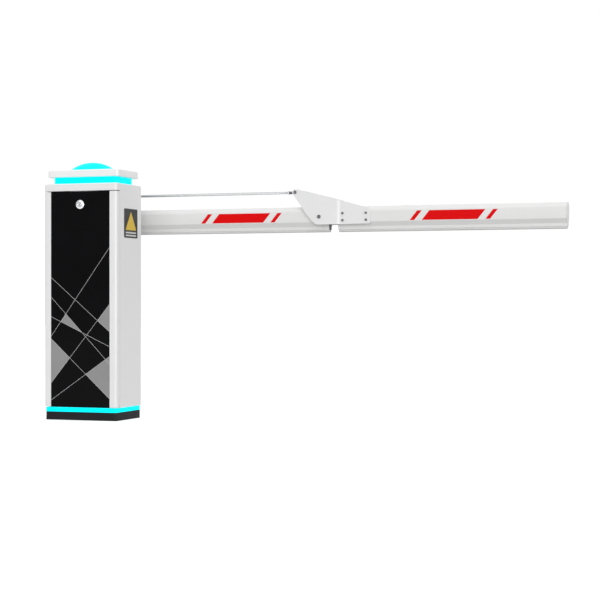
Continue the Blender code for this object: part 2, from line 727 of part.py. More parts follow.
def make_electrics():
    wall = CABINET.x / 2 - SHEET - 0.0005
    block("control_box", (0.106, -0.080, 0.160), (wall, 0.060, 0.400), "grey_plastic", 0.004)
    block("power_supply", (-wall, -0.070, 0.280), (-0.112, 0.050, 0.400), "zinc_steel", 0.002)
    block("terminal_block", (-wall, -0.070, 0.180), (-0.116, 0.060, 0.232), "grey_plastic", 0.002)


# ---------------------------------------------------------------- boom
def mirrored(half):
    """A closed outline about the boom's centre plane from its +Y half."""
    return [(BOOM_Y + s, z) for s, z in half] + [(BOOM_Y - s, z) for s, z in half[::-1]]


def boom_side():
    """The +Y half of the boom's outside."""
    return [
        (CREST_HALF, BOOM_TOP),
        (BOOM_HALF, FACE_TOP),
        (BOOM_HALF, FACE_BOTTOM),
        (RAIL_HALF, RAIL_TOP),
        (RAIL_HALF, RAIL_BOTTOM),
    ]


def boom_section():
    """Outer and inner outline of the boom's extrusion, with its bumper slot below."""
    slot = [
        (RAIL_MOUTH, RAIL_BOTTOM),
        (RAIL_MOUTH, RAIL_BOTTOM + BOOM_WALL),
        (RAIL_ROOM, RAIL_BOTTOM + BOOM_WALL),
        (RAIL_ROOM, RAIL_TOP - BOOM_WALL),
    ]
    room = [
        (CREST_HALF - 0.0013, BOOM_TOP - BOOM_WALL),
        (BOOM_HALF - BOOM_WALL, FACE_TOP - 0.0010),
        (BOOM_HALF - BOOM_WALL, FACE_BOTTOM + 0.0010),
        (RAIL_HALF - 0.0015, RAIL_TOP + 0.0012),
    ]
    return mirrored(boom_side() + slot), mirrored(room)


def make_bumper(name, start, end):
    neck, head = RAIL_MOUTH - GAP, RAIL_ROOM - GAP
    shoulder = RAIL_BOTTOM + BOOM_WALL + GAP
    side = [
        (head, RAIL_TOP - BOOM_WALL - GAP),
        (head, shoulder),
        (neck, shoulder),
        (neck, RAIL_BOTTOM - GAP),
        (BUMPER_HALF, RAIL_BOTTOM - GAP),
        (BUMPER_HALF, BUMPER_BOTTOM + 0.003),
        (BUMPER_HALF - 0.003, BUMPER_BOTTOM),
    ]
    return plate(name, [mirrored(side)], "X", start, end, "grey_rubber")


def make_end_cap(name, face, inward, finish):
    """A moulded cap: a thin plate over the section with a plug inside the tube."""
    low, high = sorted((face, face + inward * (CAP - GAP)))
    cap = plate(name, [mirrored(boom_side())], "X", low, high, finish)
    plug = [
        (CREST_HALF - 0.002, BOOM_TOP - 0.004),
        (BOOM_HALF - 0.0035, FACE_TOP - 0.002),
        (BOOM_HALF - 0.0035, FACE_BOTTOM + 0.002),
        (RAIL_HALF - 0.0025, RAIL_TOP + 0.003),
    ]
    low, high = sorted((face + inward * 0.0015, face + inward * CAP_PLUG))
    weld(cap, plate(name + "_plug", [mirrored(plug)], "X", low, high))
    return cap


def make_inner_boom():
    tube = plate("inner_boom", boom_section(), "X", TAIL_X + CAP, INNER_END - CAP, "white_powder")
    cut(tube, bar("bush_hole", (ELBOW_X, 0.1, SHAFT_Z), (ELBOW_X, 0.3, SHAFT_Z), BUSH + GAP))
    bush = [circle(ELBOW.xz, BUSH), circle(ELBOW.xz, PIVOT_BOLT + GAP)]
    bush_half = ELBOW_OUT - ELBOW_SHEET - GAP
    return [
        tube,
        make_bumper("inner_bumper", TAIL_X + CAP, INNER_END - CAP),
        make_end_cap("boom_tail_cap", TAIL_X, 1, "black_plastic"),
        make_end_cap("inner_end_cap", INNER_END, -1, "black_plastic"),
        plate("elbow_bush", bush, "Y", BOOM_Y - bush_half, BOOM_Y + bush_half, "zinc_steel"),
    ]


def make_hub():
    """Main shaft, the flange on its end and the two plates that clamp the boom."""
    shaft = bar("main_shaft", (0, SHAFT_FRONT, SHAFT_Z), (0, HUB[1], SHAFT_Z), SHAFT_RADIUS, "zinc_steel", 32)
    flange = [circle((0.0, SHAFT_Z), HUB_RADIUS, 32), circle((0.0, SHAFT_Z), SHAFT_RADIUS + GAP)]
    hub = plate("boom_hub", flange, "Y", *HUB, "dark_steel")
    face = rectangle((-SADDLE_HALF, SADDLE_HEIGHTS[0]), (SADDLE_HALF, SADDLE_HEIGHTS[1]))
    loops = [face, *[circle(point, CLAMP_HOLE, 12) for point in CLAMP_BOLTS]]
    front = BOOM_Y - BOOM_HALF - GAP
    rear = BOOM_Y + BOOM_HALF + GAP
    saddle = plate("boom_saddle", loops, "Y", HUB[1] + GAP, front, "zinc_steel")
    clamp = plate("boom_clamp", loops, "Y", rear, rear + CLAMP_SHEET, "zinc_steel")
    return [shaft, hub, saddle, clamp]


# ---------------------------------------------------------------- elbow and outer boom
def make_elbow_plate(name, side):
    """A joggled plate: proud beside the inner boom, flat on the outer boom; side is -1 in front."""
    outline = arc(ROD_JOINT.xz, EAR, 215, 75, 5) + ELBOW_CORNERS
    holes = [circle(ELBOW.xz, PIVOT_BOLT + GAP, 16), circle(ROD_JOINT.xz, ROD_PIN + GAP, 12)]
    holes += [circle(point, SPLICE_BOLT + GAP, 12) for point in SPLICES]
    y = sorted((BOOM_Y + side * 0.020, BOOM_Y + side * 0.040))
    made = plate(name, [outline, *holes], "Y", y[0], y[1], "white_powder")
    left, right = 0.80, 1.16
    outer = [(left, ELBOW_OUT), (JOGGLE[0], ELBOW_OUT), (JOGGLE[1], ELBOW_IN), (right, ELBOW_IN)]
    inner = [
        (right, ELBOW_IN - ELBOW_SHEET),
        (JOGGLE[1] - 0.002, ELBOW_IN - ELBOW_SHEET),
        (JOGGLE[0] - 0.002, ELBOW_OUT - ELBOW_SHEET),
        (left, ELBOW_OUT - ELBOW_SHEET),
    ]
    sheet = plate(name + "_sheet", [[(x, BOOM_Y + side * s) for x, s in outer + inner]], "Z", 0.75, 0.95)
    combine(made, sheet, "INTERSECT")
    return made


def through_bolt(name, centre, reach, shank, head):
    """A bolt along Y with a head and a nut, reach out from the centre plane."""
    high, low = BOOM_Y + reach, BOOM_Y - reach
    profile = [(0, high + BOLT_HEAD), (head, high + BOLT_HEAD), (head, high), (shank, high)]
    profile += [(shank, low), (head, low), (head, low - BOLT_HEAD), (0, low - BOLT_HEAD)]
    return turned(name, (centre[0], 0, centre[1]), profile, "dark_steel", 16)


def make_outer_boom():
    tube = plate("outer_boom", boom_section(), "X", OUTER_START + CAP, TIP_X - CAP, "white_powder")
    pieces = [
        tube,
        make_bumper("outer_bumper", OUTER_START + CAP, TIP_X - CAP),
        make_end_cap("outer_root_cap", OUTER_START, 1, "white_powder"),
        make_end_cap("outer_tip_cap", TIP_X, -1, "white_powder"),
        make_elbow_plate("elbow_plate_front", -1),
        make_elbow_plate("elbow_plate_rear", 1),
        through_bolt("elbow_pivot_bolt", ELBOW.xz, ELBOW_OUT + GAP, PIVOT_BOLT, 0.0090),
        through_bolt("rod_pin", ROD_JOINT.xz, ELBOW_OUT + GAP, ROD_PIN, 0.0070),
    ]
    for index, (x, z) in enumerate(SPLICES, start=1):
        cut(tube, bar(f"splice_hole_{index}", (x, 0.1, z), (x, 0.3, z), SPLICE_BOLT + GAP, sides=12))
        pieces.append(through_bolt(f"splice_bolt_{index}", (x, z), ELBOW_IN + GAP, SPLICE_BOLT, 0.0050))
    return pieces


# ---------------------------------------------------------------- tie rod
def make_rod_end(name, pivot, inward, hole):
    low, high = sorted((pivot.x + inward * 0.006, pivot.x + inward * (ROD_START - GAP)))
    y = (BOOM_Y - ROD_EYE_HALF, BOOM_Y + ROD_EYE_HALF)
    end = plate(name, [circle(pivot.xz, ROD_EYE), circle(pivot.xz, hole, 16)], "Y", *y, "dark_steel")
    outline = rectangle((low, pivot.z - 0.006), (high, pivot.z + 0.006))
    stem = plate(name + "_stem", [outline], "Y", y[0] + 0.0005, y[1] - 0.0005)
    cut(stem, bar(name + "_eye", (pivot.x, 0.1, pivot.z), (pivot.x, 0.3, pivot.z), 0.009))
    weld(end, stem)
    return end


def make_tie_rod():
    """The rod turns closely on the cabinet's stud; its eye at the elbow has play round the pin."""
    start = ROD_ANCHOR + Vector((ROD_START, 0, 0))
    end = ROD_JOINT - Vector((ROD_START, 0, 0))
    return [
        bar("tie_rod", start, end, ROD_RADIUS, "zinc_steel", 16),
        make_rod_end("rod_end_anchor", ROD_ANCHOR, 1, STUD + GAP),
        make_rod_end("rod_end_boom", ROD_JOINT, -1, ROD_PIN + 2 * GAP),
    ]


def make_rod_anchor():
    """The stud on the cabinet's back that the tie rod swings on."""
    x, z = ROD_ANCHOR.xz
    eye_back, eye_front = BOOM_Y + ROD_EYE_HALF + 0.0005, BOOM_Y - ROD_EYE_HALF - GAP
    wall = CABINET.y / 2 + GAP
    profile = [(0, 0.2000), (0.0085, 0.2000), (0.0085, eye_back), (STUD, eye_back), (STUD, eye_front)]
    profile += [(0.0080, eye_front), (0.0120, 0.1700), (0.0120, 0.1220), (0, 0.1220)]
    stud = turned("rod_anchor_bracket", (x, 0, z), profile, "zinc_steel", 20)
    weld(stud, block("anchor_foot", (x - 0.028, wall, z - 0.028), (x + 0.028, wall + 0.006, z + 0.028)))


# ---------------------------------------------------------------- assembly
def main():
    make_base()
    make_shell()
    make_top()
    make_hinges()
    door = [*make_door(), make_lock()]
    door_axis = hang("door_tilt_axis", DOOR_AXIS, door)
    lock_axis = bpy.data.objects["lock_turn_axis"]
    lock_axis.parent = door_axis
    lock_axis.matrix_parent_inverse = Matrix.Translation(DOOR_AXIS).inverted()
    make_supports()
    make_gearmotor()
    make_electrics()
    lever = make_lever_and_crank()
    make_rod_anchor()
    hang("boom_lift_axis", SHAFT, [lever, *make_hub(), *make_inner_boom()])
    hang("elbow_fold_axis", ELBOW, make_outer_boom())
    hang("tie_rod_axis", ROD_ANCHOR, make_tie_rod())


clear_scene()
PARTS = collection("parking_barrier_gate")
HELPERS = collection("cutters")
main()
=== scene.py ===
"""Looks of the parking barrier gate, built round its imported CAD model. Metres, in the CAD's own frame."""

import json
from math import asin, cos, pi, radians, sin, sqrt

import bmesh
import bpy
from mathutils import Matrix, Vector


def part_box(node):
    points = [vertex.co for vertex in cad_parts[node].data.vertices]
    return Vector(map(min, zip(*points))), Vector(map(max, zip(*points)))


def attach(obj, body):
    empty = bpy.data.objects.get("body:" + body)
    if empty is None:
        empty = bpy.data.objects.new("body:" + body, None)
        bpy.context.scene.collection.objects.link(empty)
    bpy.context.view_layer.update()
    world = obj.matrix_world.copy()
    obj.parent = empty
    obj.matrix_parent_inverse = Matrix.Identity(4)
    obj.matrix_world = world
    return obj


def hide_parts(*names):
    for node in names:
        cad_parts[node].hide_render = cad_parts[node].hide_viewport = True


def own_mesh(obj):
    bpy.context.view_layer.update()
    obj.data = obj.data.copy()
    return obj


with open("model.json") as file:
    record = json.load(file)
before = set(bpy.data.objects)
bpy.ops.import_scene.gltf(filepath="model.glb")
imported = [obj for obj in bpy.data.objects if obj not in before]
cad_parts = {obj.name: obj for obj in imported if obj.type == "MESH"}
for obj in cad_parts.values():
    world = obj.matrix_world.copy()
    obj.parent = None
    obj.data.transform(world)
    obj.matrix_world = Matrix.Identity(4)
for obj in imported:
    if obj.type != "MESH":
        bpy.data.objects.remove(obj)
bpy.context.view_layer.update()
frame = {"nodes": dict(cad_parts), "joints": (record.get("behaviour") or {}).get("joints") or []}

X, Y, Z = Vector((1, 0, 0)), Vector((0, 1, 0)), Vector((0, 0, 1))
HAIR = 0.0003  # how far thin film or a washer stands off the face it lies on


# ---- materials
def feed(tree, node, inputs):
    """Gives each input a value, or links it to the output that is given instead."""
    for name, value in inputs.items():
        if isinstance(value, bpy.types.NodeSocket):
            tree.links.new(value, node.inputs[name])
        else:
            node.inputs[name].default_value = value


def add_node(tree, kind, inputs, output):
    """The named output of a new shader node."""
    node = tree.nodes.new("ShaderNode" + kind)
    feed(tree, node, inputs)
    return node.outputs[output]


def finish(material, inputs):
    """Sets inputs of the material's main shader."""
    feed(material.node_tree, material.node_tree.nodes["Principled BSDF"], inputs)


def texture_space(tree, stretch=(1, 1, 1)):
    """Object-space position in metres, stretched along the grain."""
    place = add_node(tree, "TexCoord", {}, "Object")
    return add_node(tree, "Mapping", {"Vector": place, "Scale": stretch}, "Vector")


def noise(tree, space, scale, detail=3.0):
    return add_node(tree, "TexNoise", {"Vector": space, "Scale": scale, "Detail": detail}, "Fac")


def spread(tree, value, low, high, source=(0.3, 0.7)):
    """The value's usual range mapped onto low..high."""
    ends = dict(zip(("From Min", "From Max", "To Min", "To Max"), (*source, low, high)))
    return add_node(tree, "MapRange", {"Value": value, **ends}, "Result")


def blended(tree, factor, first, second):
    mix = tree.nodes.new("ShaderNodeMix")
    mix.data_type = "RGBA"
    feed(tree, mix, {"A": (*first, 1.0), "B": (*second, 1.0), "Factor": factor})
    return mix.outputs["Result"]


def bumped(tree, height, distance):
    return add_node(tree, "Bump", {"Strength": 1.0, "Distance": distance, "Height": height}, "Normal")


def surface(name, colour, roughness, metallic=0.0, grain=(900, 40), stretch=(1, 1, 1), mottle=0.03,
            patch=7.0, rough_spread=0.06, specular=0.5):
    """A finish with fine grain in its bump, slow mottling in its colour and smudges in its roughness.

    Grain is (noise scale, depth in micrometres); mottle and patch are the mottling's amount and scale.
    """
    material = bpy.data.materials.new(name)
    material.use_nodes = True
    tree = material.node_tree
    space = texture_space(tree, stretch)
    slow = noise(tree, texture_space(tree), patch)
    dark = [value * (1 - mottle) for value in colour]
    light = [min(1.0, value * (1 + mottle)) for value in colour]
    smudge = noise(tree, space, patch * 6)
    finish(material, {
        "Base Color": blended(tree, spread(tree, slow, 0.0, 1.0), dark, light),
        "Roughness": spread(tree, smudge, roughness - rough_spread, roughness + rough_spread),
        "Normal": bumped(tree, noise(tree, space, grain[0], 2.0), grain[1] * 1e-6),
        "Metallic": metallic,
        "Specular IOR Level": specular,
    })
    return material


def glow(name, colour, pitch):
    """A lit diffuser: even light with the faint beat of the lamps behind it."""
    material = surface(name, (0.0, 0.30, 0.33), 0.62, grain=(1500, 20), specular=0.05)
    tree = material.node_tree
    beat = noise(tree, texture_space(tree), pitch, 0.0)
    lit = blended(tree, spread(tree, beat, 0.0, 1.0), [value * 0.95 for value in colour], colour)
    finish(material, {"Emission Color": lit, "Emission Strength": 1.0})
    return material


def reflective_film(name, colour):
    """Retroreflective film: a honeycomb of small sealed cells."""
    material = surface(name, colour, 0.32, grain=(1200, 20), mottle=0.04, specular=0.05)
    tree = material.node_tree
    cells = tree.nodes.new("ShaderNodeTexVoronoi")
    cells.feature = "DISTANCE_TO_EDGE"
    feed(tree, cells, {"Vector": texture_space(tree), "Scale": 330.0, "Randomness": 0.25})
    ridge = spread(tree, cells.outputs["Distance"], 1.0, 0.0, (0.0, 0.12))
    tint = blended(tree, ridge, colour, [min(1.0, value * 1.15 + 0.002) for value in colour])
    finish(material, {"Base Color": tint, "Normal": bumped(tree, ridge, 0.00005)})
    return material


def spangled(name, colour):
    """Zinc plate: faint crystal patches and fine scratches."""
    material = surface(name, colour, 0.36, 1.0, grain=(700, 20), stretch=(1, 1, 6), patch=30)
    tree = material.node_tree
    crystals = add_node(tree, "TexVoronoi", {"Vector": texture_space(tree), "Scale": 90.0}, "Color")
    dark = [value * 0.90 for value in colour]
    light = [min(1.0, value * 1.08) for value in colour]
    tint = blended(tree, spread(tree, crystals, 0.0, 1.0, (0.0, 1.0)), dark, light)
    finish(material, {"Base Color": tint})
    return material


CYAN = (0.0, 0.95, 1.0)
POWDER, MOULDED, TURNED = (650, 60), (1300, 60), (1100, 30)  # grains of three usual finishes
WHITE_PAINT = surface("white_powder_coat", (0.705, 0.705, 0.705), 0.40, grain=POWDER, mottle=0.012)
# The lid's coat is the cabinet's white powder coat painted lighter: painted light for the extra light the lid
# catches.
LIT_LID_PAINT = surface("lid_coat_painted_lighter", (0.76, 0.76, 0.76), 0.40, grain=POWDER, mottle=0.012)
BOOM_PAINT = surface("white_boom_coat", (0.66, 0.66, 0.655), 0.38, grain=(800, 30), stretch=(0.2, 1, 1),
                     mottle=0.015)
PLATE_PAINT = surface("elbow_plate_coat", (0.685, 0.685, 0.685), 0.45, grain=POWDER, mottle=0.015)
DARK_PAINT = surface("dark_plinth_coat", (0.014, 0.014, 0.016), 0.60, grain=(420, 150), mottle=0.10,
                     specular=0.10)
ACRYLIC = surface("black_acrylic", (0.0025, 0.0025, 0.003), 0.12, grain=(60, 10), mottle=0.2,
                  rough_spread=0.03, specular=0.05)
GLOW_RING = glow("cyan_light_ring", CYAN, 60.0)
GLOW_DOME = glow("cyan_dome", CYAN, 45.0)
RED_FILM = reflective_film("red_reflective_film", (0.64, 0.001, 0.002))
ART_WHITE = surface("art_line_white", (0.50, 0.50, 0.50), 0.45, mottle=0.03, specular=0.3)
ART_GREY = surface("art_facet_grey", (0.24, 0.24, 0.24), 0.45, mottle=0.05, specular=0.3)
LABEL_BLACK = surface("label_black", (0.012, 0.012, 0.013), 0.35, grain=(900, 30), mottle=0.1,
                      specular=0.3)
LABEL_YELLOW = surface("label_yellow", (0.62, 0.42, 0.04), 0.40, mottle=0.04, specular=0.3)
LABEL_GREY = surface("label_grey", (0.55, 0.55, 0.54), 0.40, mottle=0.04, specular=0.3)
CHROME = surface("polished_chrome", (0.64, 0.65, 0.67), 0.12, 1.0, grain=(300, 5), rough_spread=0.05)
ZINC = spangled("zinc_plate", (0.55, 0.56, 0.58))
ROD_STEEL = surface("rod_steel", (0.50, 0.51, 0.52), 0.34, 1.0, grain=(900, 20), stretch=(0.05, 1, 1),
                    mottle=0.04, patch=20)
BRIGHT_BOLT = surface("grey_bolt_steel", (0.11, 0.11, 0.12), 0.36, 0.9, grain=TURNED, mottle=0.12, patch=60)
BOLT_STEEL = surface("black_oxide", (0.10, 0.10, 0.105), 0.42, 0.9, grain=TURNED, mottle=0.15, patch=60)
FORGED = surface("forged_steel", (0.085, 0.085, 0.09), 0.50, 0.8, grain=(350, 100), mottle=0.15, patch=35)
CAST_PAINT = surface("painted_casting", (0.20, 0.23, 0.26), 0.50, grain=(260, 200), mottle=0.06, patch=25)
MOTOR_PAINT = surface("motor_paint", (0.03, 0.031, 0.034), 0.45, grain=(300, 150), mottle=0.1, patch=25)
BLACK_PLASTIC = surface("black_moulding", (0.018, 0.018, 0.020), 0.48, grain=MOULDED, mottle=0.08)
GREY_PLASTIC = surface("grey_moulding", (0.44, 0.45, 0.46), 0.48, grain=MOULDED, mottle=0.03)
GREEN_PLASTIC = surface("green_terminal", (0.03, 0.22, 0.09), 0.42, grain=(1300, 50), mottle=0.05)
SMOKED = surface("smoked_window", (0.02, 0.025, 0.03), 0.12, grain=(80, 10), specular=0.4)
RUBBER = surface("black_rubber", (0.022, 0.022, 0.023), 0.72, grain=(800, 100), mottle=0.12, specular=0.3)
BUMPER = surface("grey_bumper", (0.58, 0.58, 0.575), 0.62, grain=(700, 80), stretch=(0.15, 1, 1),
                 mottle=0.04, specular=0.3)


# ---- mesh makers
def placed(name, data):
    """A new object in the scene."""
    obj = bpy.data.objects.new(name, data)
    bpy.context.scene.collection.objects.link(obj)
    return obj


def evaluated(obj):
    """The object's shape, with its modifiers, as a bmesh."""
    bpy.context.view_layer.update()
    mesh = bpy.data.meshes.new_from_object(obj.evaluated_get(bpy.context.evaluated_depsgraph_get()))
    bm = bmesh.new()
    bm.from_mesh(mesh)
    bpy.data.meshes.remove(mesh)
    return bm


def to_mesh(bm, name="part"):
    bmesh.ops.recalc_face_normals(bm, faces=bm.faces)
    mesh = bpy.data.meshes.new(name)
    bm.to_mesh(mesh)
    bm.free()
    return mesh


def together(*parts):
    """Several bmeshes as one; the others are used up."""
    whole = parts[0]
    for part in parts[1:]:
        mesh = to_mesh(part)
        whole.from_mesh(mesh)
        bpy.data.meshes.remove(mesh)
    return whole


def boolean(bm, operation, *others):
    """The bmesh after a Boolean with each of the others."""
    base = placed("base", to_mesh(bm))
    tools = [placed("tool", to_mesh(other)) for other in others]
    for tool in tools:
        modifier = base.modifiers.new("shape", "BOOLEAN")
        modifier.operation = operation
        modifier.solver = "EXACT"
        modifier.object = tool
    result = evaluated(base)
    for obj in (base, *tools):
        bpy.data.objects.remove(obj)
    return result


PLANES = {  # local x, y and extrusion direction of an outline, as world directions
    "X": Matrix(((0, 0, 1), (1, 0, 0), (0, 1, 0))),
    "Y": Matrix(((1, 0, 0), (0, 0, -1), (0, 1, 0))),
    "Z": Matrix.Identity(3),
}


def from_curve(curve, loops, closed):
    """The mesh that a curve makes along lists of points."""
    for loop in loops:
        spline = curve.splines.new("POLY")
        spline.points.add(len(loop) - 1)
        for point, place in zip(spline.points, loop):
            point.co = (*place, 1.0)
        spline.use_cyclic_u = closed
    guide = placed("guide", curve)
    bm = evaluated(guide)
    bpy.data.objects.remove(guide)
    return bm


def moved(bm, matrix):
    bmesh.ops.transform(bm, matrix=matrix, verts=bm.verts)
    return bm


def welded(bm):
    bmesh.ops.remove_doubles(bm, verts=bm.verts, dist=1e-6)
    return bm


def prism(loops, axis, low, high):
    """Closed outlines (the first is the outside, others are holes) extruded along an axis."""
    curve = bpy.data.curves.new("outline", "CURVE")
    curve.dimensions = "2D"
    curve.fill_mode = "BOTH"
    curve.extrude = (high - low) / 2
    bm = from_curve(curve, [[(u, v, 0.0) for u, v in loop] for loop in loops], True)
    middle = Vector([(low + high) / 2 if letter == axis else 0.0 for letter in "XYZ"])
    return welded(moved(bm, Matrix.Translation(middle) @ PLANES[axis].to_4x4()))


def box(low, high):
    low, high = Vector(low), Vector(high)
    bm = bmesh.new()
    bmesh.ops.create_cube(bm, size=1.0)
    bmesh.ops.scale(bm, vec=high - low, verts=bm.verts)
    bmesh.ops.translate(bm, vec=(low + high) / 2, verts=bm.verts)
    return bm


def aim(centre, direction):
    """Places a shape made along +Z so that it points in a direction from a centre."""
    turn = Z.rotation_difference(Vector(direction)).to_matrix().to_4x4()
    return Matrix.Translation(Vector(centre)) @ turn


def lathe(profile, centre, direction, sides=32):
    """A turned shape; profile is (radius, height along the direction) down its outer side."""
    bm = bmesh.new()
    verts = [bm.verts.new((radius, 0.0, height)) for radius, height in profile]
    edges = [bm.edges.new(pair) for pair in zip(verts, verts[1:])]
    bmesh.ops.spin(bm, geom=verts + edges, cent=(0, 0, 0), axis=(0, 0, 1), angle=2 * pi, steps=sides)
    return moved(welded(bm), aim(centre, direction))


def cylinder(centre, direction, radius, low, high, sides=32):
    """A round bar from low to high along the direction."""
    return lathe([(0, high), (radius, high), (radius, low), (0, low)], centre, direction, sides)


def loft(sections):
    """Loops of equal length joined in order, with a cap on each end."""
    bm = bmesh.new()
    rings = [[bm.verts.new(point) for point in section] for section in sections]
    for ring, above in zip(rings, rings[1:]):
        for corners in zip(ring, ring[1:] + ring[:1], above[1:] + above[:1], above):
            bm.faces.new(corners)
    bm.faces.new(rings[0])
    bm.faces.new(rings[-1])
    return bm


def hexagon(corner, height):
    """The six corners of a hexagon at a height above the XY plane."""
    return [(corner * cos(i * pi / 3), corner * sin(i * pi / 3), height) for i in range(6)]


def tube(points, radius):
    """Round wire along a list of points."""
    curve = bpy.data.curves.new("wire", "CURVE")
    curve.dimensions = "3D"
    curve.bevel_depth = radius
    curve.bevel_resolution = 2
    curve.use_fill_caps = True
    return welded(from_curve(curve, [points], False))


# ---- outlines
def arc(centre, radius, start, end, steps):
    """Points on an arc, angles in degrees, both ends included."""
    angles = [radians(start + (end - start) * i / steps) for i in range(steps + 1)]
    return [(centre[0] + radius * cos(angle), centre[1] + radius * sin(angle)) for angle in angles]


def circle(centre, radius, sides):
    return arc(centre, radius, 0, 360 * (sides - 1) / sides, sides - 1)


def rounded(half_x, half_y, radius, steps=8, centre=(0.0, 0.0)):
    """A rectangle with round corners."""
    x, y = half_x - radius, half_y - radius
    corners = ((x, y, 0), (-x, y, 90), (-x, -y, 180), (x, -y, 270))
    points = [p for u, v, turn in corners for p in arc((u, v), radius, turn, turn + 90, steps)]
    return [(centre[0] + u, centre[1] + v) for u, v in points]


def softened(points, radius, steps=3):
    """A closed outline with each corner rounded, by less where its sides are short."""
    result = []
    count = len(points)
    for i in range(count):
        corner = Vector(points[i])
        before = Vector(points[i - 1]) - corner
        after = Vector(points[(i + 1) % count]) - corner
        cut = min(radius, before.length * 0.45, after.length * 0.45)
        start, end = corner + before.normalized() * cut, corner + after.normalized() * cut
        for step in range(steps + 1):
            t = step / steps
            result.append(tuple((1 - t) ** 2 * start + 2 * t * (1 - t) * corner + t * t * end))
    return result


# ---- pieces
def piece(name, bm, material, body, replaces=(), bevel=0.0, segments=2):
    """A finished piece that rides on a body and stands for the CAD nodes that it replaces."""
    mesh = to_mesh(bm, name)
    mesh.materials.append(material)
    mesh.shade_smooth()
    mesh.set_sharp_from_angle(angle=radians(35))
    obj = placed(name, mesh)
    if bevel:
        ease_edges(obj, bevel, segments)
    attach(obj, body)
    if replaces:
        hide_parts(*replaces)
    return obj


def ease_edges(obj, width, segments=2):
    modifier = obj.modifiers.new("eased_edges", "BEVEL")
    modifier.width = width
    modifier.segments = segments
    modifier.limit_method = "ANGLE"
    modifier.angle_limit = radians(30)
    modifier.harden_normals = True


def hexagon_head(centre, direction, across, height, washer=0.0):
    """A hex head with a chamfered crown, on a washer when one is asked for."""
    parts, rise = [], HAIR
    if washer:
        rise = 0.0012
        disc = [(0, rise), (washer - 0.0002, rise), (washer, rise * 0.7), (washer, 0), (0, 0)]
        parts.append(lathe(disc, (0, 0, 0), Z))
    corner = across / sqrt(3)
    levels = [(corner, 0.0), (corner, height * 0.82), (corner * 0.86, height)]
    parts.append(loft([hexagon(reach, rise + level) for reach, level in levels]))
    return moved(together(*parts), aim(centre, direction))


def socket_head(centre, direction, radius, height):
    """A round head with a hex socket sunk into it."""
    eased = 0.0004
    profile = [(0, height), (radius - eased, height), (radius, height - eased), (radius, 0), (0, 0)]
    hole = cylinder((0, 0, 0), Z, radius * 0.5, height * 0.55, height + 0.001, 6)
    head = boolean(lathe(profile, (0, 0, 0), Z, 24), "DIFFERENCE", hole)
    return moved(head, aim(centre, direction))


def midpoint(node):
    """The x, y and z of the middle of a CAD node's box."""
    return [(a + b) / 2 for a, b in zip(*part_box(node))]


def frame_joint(name):
    """Where a joint stands in the CAD."""
    return Vector(next(joint for joint in frame["joints"] if joint["name"] == name)["pos_m"])


def keep_cad(material, bevel, *nodes):
    """CAD nodes whose shapes are right: they get their finish and eased edges."""
    for node in nodes:
        obj = frame["nodes"][node]
        obj.data.materials.clear()
        obj.data.materials.append(material)
        ease_edges(obj, bevel)


# ---- cabinet
SHELL_LOW, SHELL_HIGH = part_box("cabinet_shell")
DOOR_LOW, DOOR_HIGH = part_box("door_skin")
PANEL_LOW, PANEL_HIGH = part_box("door_panel")
CORNER, RING_CORNER = 0.012, 0.010
SHEET, GLOW_WALL = 0.003, 0.006
FOOT_RIM = 0.014  # the edge left round the shell's open bottom
DOORWAY_Y, HEADER_Z = -0.0885, 0.9310
SHAFT_RADIUS = 0.018


def soft_block(low, high, corner, soft, foot=0.001):
    """A block with round vertical corners and a softly rounded top edge."""
    steps = 6
    sections = [(foot, low.z), (0.0, low.z + foot)]
    for i in range(steps + 1):
        turn = radians(90 * i / steps)
        sections.append((soft * (1 - cos(turn)), high.z - soft + soft * sin(turn)))
    loops = []
    for inset, z in sections:
        outline = rounded(high.x - inset, high.y - inset, corner - min(inset, corner * 0.6), 12)
        loops.append([(u, v, z) for u, v in outline])
    return loft(loops)


def make_ring(name, node, wall, inner_corner, material, bevel, segments=2):
    """A hollow band round the cabinet."""
    low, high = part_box(node)
    outside = rounded(high.x, high.y, RING_CORNER, 10)
    inside = rounded(high.x - wall, high.y - wall, inner_corner, 10)
    band = prism([outside, inside], "Z", low.z, high.z)
    piece(name, band, material, "cabinet", [node], bevel, segments)


def make_plinth():
    make_ring("plinth_cover", "plinth_skirt", SHEET, 0.007, DARK_PAINT, 0.0008)
    make_ring("lower_glow", "lower_light_ring", GLOW_WALL, 0.005, GLOW_RING, 0.0012, 3)


def make_shell():
    """The box behind the door: open in front, below and round the shaft."""
    body = soft_block(SHELL_LOW, SHELL_HIGH, CORNER, 0.005, 0.0002)
    room_x, room_y = SHELL_HIGH.x - SHEET, SHELL_HIGH.y - SHEET
    inside = rounded(room_x, room_y, CORNER - SHEET, 12)
    room = prism([inside], "Z", SHELL_LOW.z + SHEET, SHELL_HIGH.z - SHEET)
    foot = box((-room_x + FOOT_RIM, -0.2, 0.0), (room_x - FOOT_RIM, room_y - FOOT_RIM, 0.1))
    doorway = box((-0.2, -0.2, 0.0), (0.2, DOORWAY_Y, HEADER_Z))
    shaft_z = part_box("main_shaft")[0].z + SHAFT_RADIUS
    opening = cylinder((0, SHELL_HIGH.y, shaft_z), Y, 0.029, -0.05, 0.05, 48)
    body = boolean(body, "DIFFERENCE", room, foot, doorway, opening)
    piece("shell_cover", body, WHITE_PAINT, "cabinet", ["cabinet_shell"], 0.0006)
    rear = [(x, SHELL_HIGH.y + HAIR / 2, z) for x in (-0.120, 0.120) for z in (0.120, 0.500, 0.880)]
    heads = [socket_head(place, Y, 0.006, 0.003) for place in rear]
    piece("rear_screws", together(*heads), BOLT_STEEL, "cabinet", bevel=0.0003)


def make_top():
    make_ring("upper_glow", "upper_light_ring", GLOW_WALL, 0.004, GLOW_RING, 0.0008)
    lid = soft_block(*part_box("lid"), 0.014, 0.0055)
    # the lid wears the lighter coat, with its painted light
    piece("lid_cover", lid, LIT_LID_PAINT, "cabinet", ["lid"])
    make_dome()


